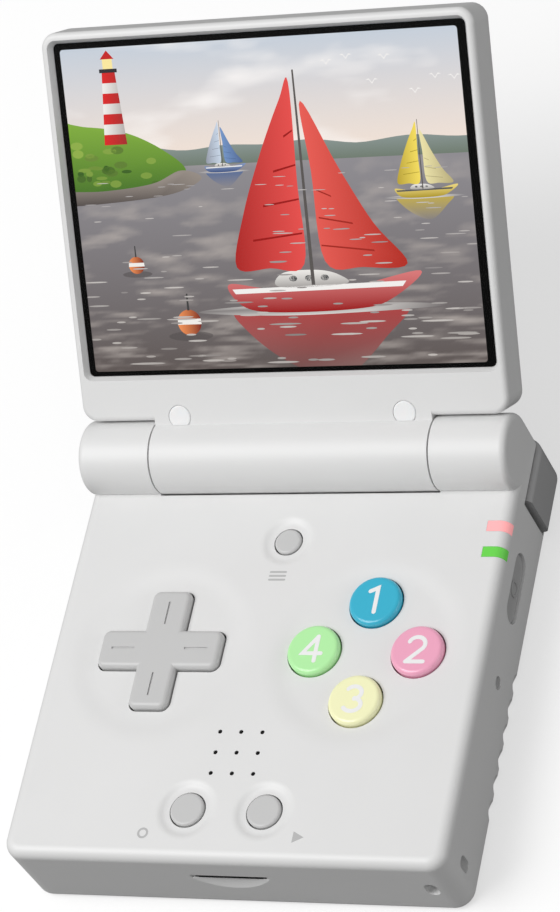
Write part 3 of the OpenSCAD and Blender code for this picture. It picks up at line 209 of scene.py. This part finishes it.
LCD = surface("lcd_glass", (0.012, 0.013, 0.017), 0.1, grain_depth=0.001)
GOLD = surface("gold_contact", (0.9, 0.6, 0.18), 0.3, metal=1.0)
LAMP_PINK = lamp("lamp_pink", (1.0, 0.40, 0.41), 0.35)
LAMP_GREEN = lamp("lamp_green", (0.13, 0.60, 0.07), 0.25)

NODES_OF = {
    SHELL: ["base_top_shell", "base_bottom_shell", "lid_back_cover"],
    BEZEL: ["lid_front_bezel"],
    KEY_GREY: ["d_pad", "menu_button", "start_button", "select_button"],
    KEY_SHADE: ["power_button", "volume_rocker"],
    KEY_DARK: ["shoulder_l1", "shoulder_l2", "shoulder_r1", "shoulder_r2", "reset_button"],
    PINK: ["button_a"],
    BLUE: ["button_x"],
    GREEN: ["button_y"],
    YELLOW: ["button_b"],
    STEEL: ["case_screws", "board_screws", "shield_can", "usb_c_port", "video_port",
            "side_switches", "hinge_pin_right", "hinge_sleeve_left",
            "d_pad_pivot", "lid_screws", "lid_magnet"],
    DARK_STEEL: ["hinge_clutch", "card_socket"],
    BLACK_PLASTIC_AND_SHADE: ["speaker", "headphone_jack"],
    BOARD: ["main_board", "port_board", "trigger_board_left", "trigger_board_right"],
    SILICONE: ["dpad_membrane", "action_membrane", "start_select_membrane", "menu_membrane"],
    FOAM: ["speaker_gasket", "lcd_gasket"],
    BUMPER: ["lid_bumpers"],
    POUCH: ["battery"],
    RIBBON: ["display_ribbon_base", "display_ribbon_lid"],
    BUSH: ["hinge_bush_left"],
    LCD: ["lcd_panel"],
    LAMP_PINK: ["charge_light_pipe"],
    LAMP_GREEN: ["power_light_pipe"],
    clear_lens("lens_clear"): ["screen_lens"],
}
for finish, node_names in NODES_OF.items():
    for node_name in node_names:
        NODES[node_name].data.materials.clear()
        NODES[node_name].data.materials.append(finish)


# Ways to make a piece

def mesh_object(name, verts, faces, material, body):
    me = bpy.data.meshes.new(name)
    me.from_pydata(verts, [], faces)
    me.update()
    me.materials.append(material)
    ob = bpy.data.objects.new(name, me)
    SCENE.collection.objects.link(ob)
    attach(ob, body)
    return ob


def printed(name, shapes, centre, z, material, body, depth=0.02):
    """Flat print of the given outlines round a centre, lying at height z, all in mm."""
    verts, faces = [], []
    for k, shape in enumerate(shapes):
        height = z + 0.001 * k
        faces.append(tuple(range(len(verts), len(verts) + len(shape))))
        verts += [((x + centre[0]) * MM, (y + centre[1]) * MM, height * MM) for x, y in shape]
    ob = mesh_object(name, verts, faces, material, body)
    solid = ob.modifiers.new("thick", "SOLIDIFY")
    solid.thickness = depth * MM
    solid.offset = -1.0


def boxes(name, cells, material, body):
    """One piece of several upright boxes, each given by two opposite corners in mm."""
    verts, faces = [], []
    for (x0, y0, z0), (x1, y1, z1) in cells:
        s = len(verts)
        verts += [(x * MM, y * MM, z * MM) for z in (z0, z1)
                  for x, y in ((x0, y0), (x1, y0), (x1, y1), (x0, y1))]
        faces += [(s, s + 3, s + 2, s + 1), (s + 4, s + 5, s + 6, s + 7),
                  (s, s + 1, s + 5, s + 4), (s + 1, s + 2, s + 6, s + 5),
                  (s + 2, s + 3, s + 7, s + 6), (s + 3, s, s + 4, s + 7)]
    mesh_object(name, verts, faces, material, body)


def arc(cx, cy, rx, ry, start, stop, n=14):
    turns = [math.radians(start + (stop - start) * i / n) for i in range(n + 1)]
    return [(cx + rx * math.cos(t), cy + ry * math.sin(t)) for t in turns]


def ellipse(cx, cy, rx, ry, n=28):
    turns = [2 * math.pi * i / n for i in range(n)]
    return [(cx + rx * math.cos(t), cy + ry * math.sin(t)) for t in turns]


def rounded(half_w, low, high, r, shift=0.0):
    """Upright rectangle with corners of radius r, shifted sideways."""
    steps = 6
    corners = ((1, low + r, -90), (1, high - r, 0), (-1, high - r, 90), (-1, low + r, 180))
    outline = []
    for side, cy, start in corners:
        for i in range(steps + 1):
            t = math.radians(start + 90 * i / steps)
            outline.append((shift + side * (half_w - r) + r * math.cos(t), cy + r * math.sin(t)))
    return outline


def smooth(points, steps=8):
    """A smooth closed outline through the points."""
    n = len(points)
    outline = []
    for i in range(n):
        near = [points[(i + k - 1) % n] for k in range(4)]
        for t in (s / steps for s in range(steps)):
            outline.append(tuple(
                0.5 * (2 * b + (c - a) * t + (2 * a - 5 * b + 4 * c - d) * t * t
                       + (3 * b - a - 3 * c + d) * t ** 3)
                for a, b, c, d in zip(*near)))
    return outline


def strip(points, half, cap=8):
    """Outline of a round-ended stroke of half width half along the points."""
    spots = [Vector(point) for point in points]
    last = len(spots) - 1
    left, right = [], []
    for i, here in enumerate(spots):
        steps = (here - spots[max(i - 1, 0)], spots[min(i + 1, last)] - here)
        along = [step.normalized() for step in steps if step.length > 0]
        run = sum(along, Vector((0, 0))).normalized()
        out = Vector((-run.y, run.x)) * (half / max(0.5, run.dot(along[0])))
        left.append(here + out)
        right.append(here - out)

    def end(at, run):
        start = math.atan2(run.x, -run.y)
        turns = [start - math.pi * k / cap for k in range(1, cap)]
        return [at + half * Vector((math.cos(t), math.sin(t))) for t in turns]

    far_end = end(spots[-1], spots[-1] - spots[-2])
    near_end = end(spots[0], spots[0] - spots[1])
    return left + far_end + right[::-1] + near_end


# Plain numbers on the four round caps
NUMBERS = {
    "1": [[(-1.05, 1.75), (0.35, 2.45), (0.35, -2.45)]],
    "2": [arc(0, 1.05, 1.55, 1.4, 160, -35) + [(-1.6, -2.45)], [(-1.6, -2.45), (1.7, -2.45)]],
    "3": [arc(-0.1, 1.2, 1.45, 1.25, 145, -80), arc(-0.1, -1.15, 1.7, 1.3, 80, -150)],
    "4": [[(0.75, 2.45), (-1.75, -0.95), (1.8, -0.95)], [(0.75, 2.45), (0.75, -2.45)]],
}
CAPS = {
    "1": ("button_x", "key_x", "key_blue"),
    "2": ("button_a", "key_a", "key_pink"),
    "3": ("button_b", "key_b", "key_yellow"),
    "4": ("button_y", "key_y", "key_green"),
}
NUMBER_STROKE = 0.4
NUMBER_RISE = 0.015
for number, (cap_node, body, slot) in CAPS.items():
    low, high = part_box(cap_node)
    centre = ((low.x + high.x) / 2 / MM, (low.y + high.y) / 2 / MM)
    strokes = [strip(points, NUMBER_STROKE) for points in NUMBERS[number]]
    printed("number_" + number, strokes, centre, high.z / MM + NUMBER_RISE, NUMBER_INK, body)


# Plain marks beside the three small buttons: three bars, a ring and an arrowhead
MARK_STROKE = 0.2
MARK_RISE = 0.008
MARK_DEPTH = 0.006
RING_R = 0.85
BARS = [[(-1.5, y), (1.5, y)] for y in (0.8, 0, -0.8)]
HALF_RINGS = [arc(0, 0, RING_R, RING_R, turn, turn + 180, 18) for turn in (0, 180)]
ARROWHEAD = [(-0.95, -1.1), (1.15, 0), (-0.95, 1.1)]
MARKS = {
    "menu": ([strip(bar, MARK_STROKE, 4) for bar in BARS], (-0.45, 13.0)),
    "select": ([strip(half, MARK_STROKE, 4) for half in HALF_RINGS], (-15.2, -39.05)),
    "start": ([ARROWHEAD], (14.6, -39.05)),
}
for mark, (shapes, centre) in MARKS.items():
    printed("mark_" + mark, shapes, centre, FACE_Z + MARK_RISE, MARK_INK, "base",
            MARK_DEPTH)


# The black border printed under the lens, with rounded inner corners

def on_lid(x, v, w):
    return LID @ Vector((x * MM, v * MM, w * MM))


border_outer = rounded(LENS_HALF, LENS_LOW, LENS_TOP, LENS_CORNER)
border_inner = rounded(WINDOW_HALF, WINDOW_LOW, WINDOW_TOP, WINDOW_CORNER, PICTURE_SHIFT)
border = [on_lid(x, v, BORDER_W) for x, v in border_outer + border_inner]
count = len(border_outer)
border_faces = [(i, (i + 1) % count, count + (i + 1) % count, count + i) for i in range(count)]
mesh_object("lens_border", border, border_faces, BLACK, "lid")


# The display's picture: an evening harbour, built from coloured shapes

WIDTH = 2 * PICTURE_HALF
HEIGHT = PICTURE_HIGH - PICTURE_LOW
HORIZON = 38.0
HAZE = (0.86, 0.84, 0.80)


def mixed(a, b, t):
    t = max(0.0, min(1.0, t))
    return tuple(p + (q - p) * t for p, q in zip(a, b))


class Picture:
    """Coloured shapes in thin layers. Points are (u, h) in mm from the picture's lower left."""

    def __init__(self):
        self.verts, self.faces, self.colours = [], [], []
        self.w = PICTURE_W

    def point(self, u, h, paint):
        u = max(0.0, min(WIDTH, u))
        h = max(0.0, min(HEIGHT, h))
        self.verts.append(on_lid(u - PICTURE_HALF + PICTURE_SHIFT, h + PICTURE_LOW, self.w))
        self.colours.append(paint(u, h) if callable(paint) else paint)

    def put(self, points, paint):
        """One flat shape, in one colour or in a colour worked out at each point."""
        start = len(self.verts)
        for u, h in points:
            self.point(u, h, paint)
        self.faces.append(tuple(range(start, len(self.verts))))

    def field(self, low, high, across, rows, paint):
        """A full-width band between two heights, as a grid of points."""
        start = len(self.verts)
        for j in range(rows + 1):
            for i in range(across + 1):
                self.point(WIDTH * i / across, low + (high - low) * j / rows, paint)
        for j in range(rows):
            for i in range(across):
                a = start + j * (across + 1) + i
                self.faces.append((a, a + 1, a + across + 2, a + across + 1))

    def up(self):
        self.w += LAYER_STEP

    def build(self, name, body):
        ob = mesh_object(name, self.verts, self.faces, glow("screen_light"), body)
        layer = ob.data.color_attributes.new("Col", "FLOAT_COLOR", "POINT")
        for i, colour in enumerate(self.colours):
            layer.data[i].color = tuple(colour) + (1,)


def sky(u, h):
    t = (h - HORIZON) / (HEIGHT - HORIZON)
    clear = mixed((0.90, 0.76, 0.66), (0.56, 0.62, 0.70), t)
    cloud = noise.fractal(Vector((u * 0.05, h * 0.16, 1.7)), 1.0, 2.0, 4)
    return mixed(clear, (0.98, 0.95, 0.93), 0.9 * max(0.0, cloud))


def water(u, h):
    t = h / HORIZON
    deep = mixed((0.11, 0.09, 0.085), (0.27, 0.26, 0.28), t)
    ripple = noise.fractal(Vector((u * 0.09, h * (0.9 - 0.4 * t), 5.1)), 1.0, 2.0, 4)
    return mixed(deep, (0.50, 0.45, 0.42), 0.7 * max(0.0, ripple))


def hill_line(u):
    return HORIZON + 3.2 + 2.2 * noise.noise(Vector((u * 0.07, 3.3, 0.2)))


rng = random.Random(7)
scene_art = Picture()
put = scene_art.put
up = scene_art.up

scene_art.field(HORIZON - 0.3, HEIGHT, 96, 40, sky)
up()
scene_art.field(0, HORIZON, 96, 90, water)
up()
HILL_POINTS = 40
ridge = [(u, hill_line(u)) for u in (WIDTH * i / HILL_POINTS for i in range(HILL_POINTS + 1))]
put([(0, HORIZON)] + ridge + [(WIDTH, HORIZON)],
    lambda u, h: mixed((0.16, 0.20, 0.16), (0.30, 0.36, 0.36), (h - HORIZON) / 6))
up()

# Headland with bushes and rocks, at the left
LAND = [(-4, 33), (6, 33.5), (17, 34.5), (23, 37), (19, 41), (12, 44.5), (4, 46), (-4, 46)]
ROCKS = [(-4, 31.6), (8, 31.8), (20, 33), (26, 35.6), (22, 37.2), (16, 35), (6, 34), (-4, 34)]
put(smooth(LAND), lambda u, h: mixed((0.05, 0.15, 0.02), (0.22, 0.42, 0.05), (h - 33) / 12))
up()
for _ in range(26):
    u = rng.uniform(0.5, 17)
    h = rng.uniform(36, 43.5) - u * 0.12
    put(ellipse(u, h, rng.uniform(0.5, 1.5), rng.uniform(0.3, 0.8), 12),
        mixed((0.03, 0.10, 0.015), (0.33, 0.50, 0.08), rng.random()))
up()
put(smooth(ROCKS), lambda u, h: mixed((0.09, 0.075, 0.07), (0.30, 0.26, 0.23), (h - 31.5) / 4))
up()

# Striped lighthouse: tower, gallery, lamp room and roof
TOWER_U = 9.5
TOWER_FOOT = 42.5
BAND_COUNT = 7
BAND_HIGH = 1.9
BAND_R = 2.3
BAND_TAPER = 0.14
for i in range(BAND_COUNT):
    low_h = TOWER_FOOT + i * BAND_HIGH
    top_h = low_h + BAND_HIGH
    low_r = BAND_R - BAND_TAPER * i
    top_r = low_r - BAND_TAPER
    tone = (0.72, 0.02, 0.02) if i % 2 == 0 else (0.88, 0.86, 0.83)
    put([(TOWER_U - low_r, low_h), (TOWER_U + low_r, low_h),
         (TOWER_U + top_r, top_h), (TOWER_U - top_r, top_h)],
        lambda u, h, tone=tone: mixed(tone, (0.08, 0.03, 0.03),
                                      0.55 * max(0.0, (u - TOWER_U) / 2.2)))
up()
put([(7.7, 55.8), (11.3, 55.8), (11.3, 56.5), (7.7, 56.5)], (0.03, 0.03, 0.035))
put([(8.5, 56.5), (10.5, 56.5), (10.5, 58.3), (8.5, 58.3)], (0.95, 0.80, 0.35))
put([(8.1, 58.3), (10.9, 58.3), (9.5, 59.9)], (0.55, 0.02, 0.02))
up()

# A sailing boat's outlines, in mm from its waterline at scale 1
REFLECTION = [(-8, -0.6), (0, -1.0), (9, -0.7), (7, -3.5), (2, -7.5), (-3, -6), (-7, -3)]
WAKE = [(-12, -0.9), (-4, -1.4), (5, -1.3), (13, -0.9), (8, -0.5), (-6, -0.4)]
HULL = [(-8.6, 1.7), (-4, 1.1), (3, 1.0), (10.8, 2.4), (7.6, -0.2), (4, -1.0), (-4, -1.1),
        (-7.4, -0.4)]
STRIPE = [(-8.0, 0.75), (8.9, 1.0), (9.3, 1.5), (-8.3, 1.2)]
CABIN = [(-3.4, 1.3), (-3.0, 2.6), (0.4, 2.8), (2.6, 2.3), (3.2, 1.4)]
MAST = [(-0.18, 1.4), (0.18, 1.4), (0.12, 21.5), (-0.05, 21.5)]
MAIN_SAIL = [(-0.5, 20.4), (-0.6, 11), (-0.7, 3.4), (-4.2, 3.1), (-7.6, 3.3), (-6.4, 8.2),
             (-4.0, 14), (-1.6, 18.8)]
JIB = [(0.5, 18.6), (0.9, 12), (1.4, 3.6), (5.2, 2.9), (9.6, 3.1), (6.6, 7.0), (3.6, 12.4)]


def boat(u, h, s, hull, sail, jib, stripe):
    """A sailing boat on the water at (u, h), s times its base size."""
    def at(points):
        return [(u + x * s, h + y * s) for x, y in points]

    def mirrored(x, y):
        return mixed(mixed(hull, (0.1, 0.09, 0.09), 0.35), water(x, y), (h - y) / (8 * s))

    def planked(x, y):
        return mixed(mixed(hull, (0.03, 0.0, 0.0), 0.5), mixed(hull, (1, 1, 1), 0.18),
                     (y - h + s) / (3.2 * s))

    def main_cloth(x, y):
        return mixed(mixed(sail, (0.05, 0, 0), 0.6), mixed(sail, (1, 0.9, 0.85), 0.07),
                     0.15 + (x - u + 7.6 * s) / (8.6 * s))

    def jib_cloth(x, y):
        return mixed(mixed(jib, (0.05, 0, 0), 0.5), mixed(jib, (1, 0.95, 0.9), 0.08),
                     0.9 - (x - u) / (9.6 * s))

    put(smooth(at(REFLECTION)), mirrored)
    up()
    put(smooth(at(WAKE)),
        lambda x, y: mixed((0.85, 0.83, 0.80), water(x, y), abs(x - u) / (13 * s)))
    up()
    put(smooth(at(HULL)), planked)
    up()
    put(at(STRIPE), stripe)
    put(smooth(at(CABIN)),
        lambda x, y: mixed((0.30, 0.28, 0.27), (0.85, 0.83, 0.80), (y - h - s) / (1.8 * s)))
    for port in range(3):
        spot = u + (-2.0 + 1.6 * port) * s
        put(ellipse(spot, h + 2.05 * s, 0.42 * s, 0.28 * s, 14), (0.02, 0.025, 0.03))
    up()
    put(at(MAST), (0.10, 0.09, 0.085))
    up()
    put(smooth(at(MAIN_SAIL), 6), main_cloth)
    put(smooth(at(JIB), 6), jib_cloth)
    up()
    for seam in range(4):
        y = 6.2 + 3.2 * seam
        reach = 6.9 - 0.43 * (y - 3.3)
        put(at([(-0.6, y), (-0.6, y + 0.16), (-reach, y - 0.35), (-reach, y - 0.55)]),
            mixed(sail, (0.02, 0, 0), 0.6))
    for seam in range(3):
        y = 5.0 + 2.6 * seam
        reach = 6.4 - 1.9 * seam
        put(at([(1.2, y), (1.2, y + 0.14), (reach, y - 0.5), (reach + 0.1, y - 0.68)]),
            mixed(jib, (0.02, 0, 0), 0.6))
    up()


boat(30.5, 37.0, 0.42, hull=(0.06, 0.16, 0.42), sail=(0.55, 0.66, 0.80),
     jib=(0.12, 0.28, 0.60), stripe=(0.85, 0.85, 0.85))
boat(69.0, 31.0, 0.62, hull=(0.80, 0.60, 0.03), sail=(0.92, 0.72, 0.06),
     jib=(0.90, 0.82, 0.40), stripe=(0.10, 0.10, 0.10))
boat(46.0, 12.5, 1.95, hull=(0.62, 0.012, 0.012), sail=(0.78, 0.018, 0.015),
     jib=(0.85, 0.05, 0.03), stripe=(0.88, 0.86, 0.84))


def buoy(u, h, s):
    """A striped buoy on the water at (u, h), with its shadow and its staff."""
    put(ellipse(u, h - 1.7 * s, 3.0 * s, 0.6 * s),
        lambda x, y: mixed((0.08, 0.07, 0.07), water(x, y), 0.4))
    up()
    put(ellipse(u, h, 1.6 * s, 1.6 * s),
        lambda x, y: mixed((0.90, 0.30, 0.10), (0.18, 0.01, 0.01),
                           (x - u + 1.6 * s) / (3.2 * s)))
    up()
    put([(u - 1.6 * s, h - 0.25 * s), (u + 1.6 * s, h - 0.25 * s),
         (u + 1.55 * s, h + 0.45 * s), (u - 1.55 * s, h + 0.45 * s)], HAZE)
    put([(u - 0.15 * s, h + 1.5 * s), (u + 0.15 * s, h + 1.5 * s),
         (u + 0.1 * s, h + 3.6 * s), (u - 0.1 * s, h + 3.6 * s)], (0.05, 0.05, 0.05))
    up()


buoy(11.0, 20.0, 1.0)
buoy(20.5, 9.0, 1.5)

# Glints on the water, longer and thicker in front
for _ in range(150):
    u = rng.uniform(1, WIDTH - 1)
    h = rng.uniform(1, HORIZON - 2)
    near = 1 - h / HORIZON
    put(ellipse(u, h, rng.uniform(0.6, 2.6) * (0.5 + near), 0.05 + 0.16 * near, 10),
        mixed(water(u, h), (0.80, 0.76, 0.72), rng.uniform(0.15, 0.6)))
up()

# Gulls
GULL = [(-1.2, 0.5), (-0.6, 0.75), (0, 0), (0.6, 0.75), (1.2, 0.5), (0.55, 0.5), (0, -0.25),
        (-0.55, 0.5)]
for i in range(7):
    u = 52 + 4.2 * i + rng.uniform(-1, 1)
    h = 52 + rng.uniform(-3, 4)
    put([(u + x, h + y) for x, y in GULL], (0.90, 0.88, 0.86))

scene_art.build("screen_picture", "lid")


# Black crosses in the case screws' cross recesses: painted shade in the recesses
SCREWS = ((27, 25.2), (-27, 25.2), (37.4, -24), (-37.4, -24), (22, -38.6), (-22, -38.6))
CROSS_LONG = 1.15
CROSS_SHORT = 0.24
CROSS_LOW = 0.592
CROSS_TOP = 0.75
recess_shade = [((x - half_x, y - half_y, CROSS_LOW), (x + half_x, y + half_y, CROSS_TOP))
           for x, y in SCREWS
           for half_x, half_y in ((CROSS_LONG, CROSS_SHORT), (CROSS_SHORT, CROSS_LONG))]
boxes("screw_recess_shade", recess_shade, BLACK_PLASTIC_AND_SHADE, "base")

# Contacts on the tongue of the charging port
CONTACT_COUNT = 12
CONTACT_PITCH = 0.35
CONTACT_START = -1.92
CONTACT_HALF = 0.09
CONTACT_FRONT = 37.6
CONTACT_REAR = 42.6
CONTACT_LOW = 6.149
CONTACT_TOP = 6.17
spots = [CONTACT_START + CONTACT_PITCH * i for i in range(CONTACT_COUNT)]
contacts = [((x - CONTACT_HALF, CONTACT_FRONT, CONTACT_LOW),
             (x + CONTACT_HALF, CONTACT_REAR, CONTACT_TOP)) for x in spots]
boxes("usb_contacts", contacts, GOLD, "base")

# Black sheets lining the card slot as painted shade, with a lip that reaches forward over the
# finger scoop as a painted shadow
SLOT_HALF = 7.39
SLOT_LOW = 9.951
SLOT_TOP = 11.149
SLOT_FRONT = -42.9
SLOT_REAR = -41.1
SHADE_SHEET = 0.04
SCOOP_SHADOW_HALF = 6.9
SCOOP_SHADOW_FRONT = -43.72
SCOOP_SHADOW_LOW = 9.8
slot_shade_boxes = [
    ((-SLOT_HALF, SLOT_FRONT, SLOT_LOW), (SLOT_HALF, SLOT_REAR, SLOT_LOW + SHADE_SHEET)),
    ((-SLOT_HALF, SLOT_FRONT, SLOT_TOP - SHADE_SHEET), (SLOT_HALF, SLOT_REAR, SLOT_TOP)),
    ((-SLOT_HALF, SLOT_FRONT, SLOT_LOW), (SHADE_SHEET - SLOT_HALF, SLOT_REAR, SLOT_TOP)),
    ((SLOT_HALF - SHADE_SHEET, SLOT_FRONT, SLOT_LOW), (SLOT_HALF, SLOT_REAR, SLOT_TOP)),
    ((-SCOOP_SHADOW_HALF, SCOOP_SHADOW_FRONT, SCOOP_SHADOW_LOW), (SCOOP_SHADOW_HALF, SLOT_FRONT, SLOT_LOW + SHADE_SHEET)),
]
boxes("card_slot_shade", slot_shade_boxes, BLACK_PLASTIC_AND_SHADE, "base")

# Black discs across the speaker's holes, a little below the face: painted shade in the holes,
# drawn with a fine mesh grain
GRILLE_CENTRE = (-0.6, -22.9)
GRILLE_PITCH = 4.11
HOLE_SHADE_R = 0.398
HOLE_SHADE_DROP = 0.14
dots = [ellipse(i * GRILLE_PITCH, j * GRILLE_PITCH, HOLE_SHADE_R, HOLE_SHADE_R, 24)
        for i in (-1, 0, 1) for j in (-1, 0, 1)]
printed("speaker_hole_shade", dots, GRILLE_CENTRE, FACE_Z - HOLE_SHADE_DROP, HOLE_SHADE_SHEET, "base")


# Floor, light and camera

FLOOR_SIZE = 6
FLOOR_DROP = 0.00002
FLOOR_LIFT = 0.57
FLOOR_BOUNCE = (0.15, 0.15, 0.15, 1)
AMBIENT = 0.30
AIM = (0, 0.02, 0.02)
WHITE = (1, 1, 1, 1)


def paper_floor():
    """Pale paper, bright to the camera and dimmer in the light that it returns."""
    bpy.ops.mesh.primitive_plane_add(size=FLOOR_SIZE, location=(0, 0, -FLOOR_DROP))
    floor = bpy.context.active_object
    floor.name = "floor"
    paper = surface("floor_paper", (0.46, 0.46, 0.46), 0.9, grain=400.0, grain_depth=0.01,
                    vary=0.004, specular=0.1)
    tree = paper.node_tree
    p = tree.nodes["Principled BSDF"]
    pale = p.inputs["Base Color"].links[0].from_socket
    dim = tree.nodes.new("ShaderNodeMix")
    dim.data_type = "RGBA"
    fill(dim, {"A": FLOOR_BOUNCE})
    lift = tree.nodes.new("ShaderNodeMath")
    lift.operation = "MULTIPLY"
    lift.inputs[1].default_value = FLOOR_LIFT
    seen = tree.nodes.new("ShaderNodeLightPath").outputs["Is Camera Ray"]
    links(tree, (seen, dim.inputs["Factor"]), (pale, dim.inputs["B"]), (seen, lift.inputs[0]),
          (dim.outputs["Result"], p.inputs["Base Color"]),
          (lift.outputs[0], p.inputs["Emission Strength"]))
    fill(p, {"Emission Color": WHITE})
    floor.data.materials.append(paper)


def studio_world():
    """Soft light from all sides, and an even pale tone where the camera looks past the floor."""
    world = bpy.data.worlds.new("studio")
    SCENE.world = world
    world.use_nodes = True
    tree = world.node_tree
    ambient = fill(tree.nodes["Background"], {"Color": WHITE, "Strength": AMBIENT})
    pale = fill(tree.nodes.new("ShaderNodeBackground"), {"Strength": 1.0})
    rays = tree.nodes.new("ShaderNodeLightPath")
    join = tree.nodes.new("ShaderNodeMixShader")
    links(tree, (rays.outputs["Is Camera Ray"], join.inputs[0]),
          (ambient.outputs[0], join.inputs[1]), (pale.outputs[0], join.inputs[2]),
          (join.outputs[0], tree.nodes["World Output"].inputs["Surface"]))


def area_light(name, place, size, power):
    data = bpy.data.lights.new(name, "AREA")
    data.shape = "RECTANGLE"
    data.size, data.size_y = size
    data.energy = power
    ob = bpy.data.objects.new(name, data)
    SCENE.collection.objects.link(ob)
    ob.location = place
    ob.rotation_euler = (Vector(AIM) - Vector(place)).to_track_quat("-Z", "Y").to_euler()


def photo_camera(place, turn, lens):
    data = bpy.data.cameras.new("camera")
    data.lens = lens
    data.sensor_width = 36.0
    data.clip_start = 0.01
    ob = bpy.data.objects.new("camera", data)
    SCENE.collection.objects.link(ob)
    ob.location = place
    ob.rotation_euler = tuple(math.radians(a) for a in turn)
    SCENE.camera = ob


paper_floor()
studio_world()
area_light("key_light", (-0.63, -0.33, 1.22), (0.9, 0.9), 15.2)
area_light("fill_light", (1.15, 0.05, 0.35), (0.9, 0.6), 2.45)
photo_camera((0.28343, -0.30376, 0.57598), (33.5362, 20.6104, 12.1971), 152.81)
SCENE.view_settings.view_transform = "Standard"
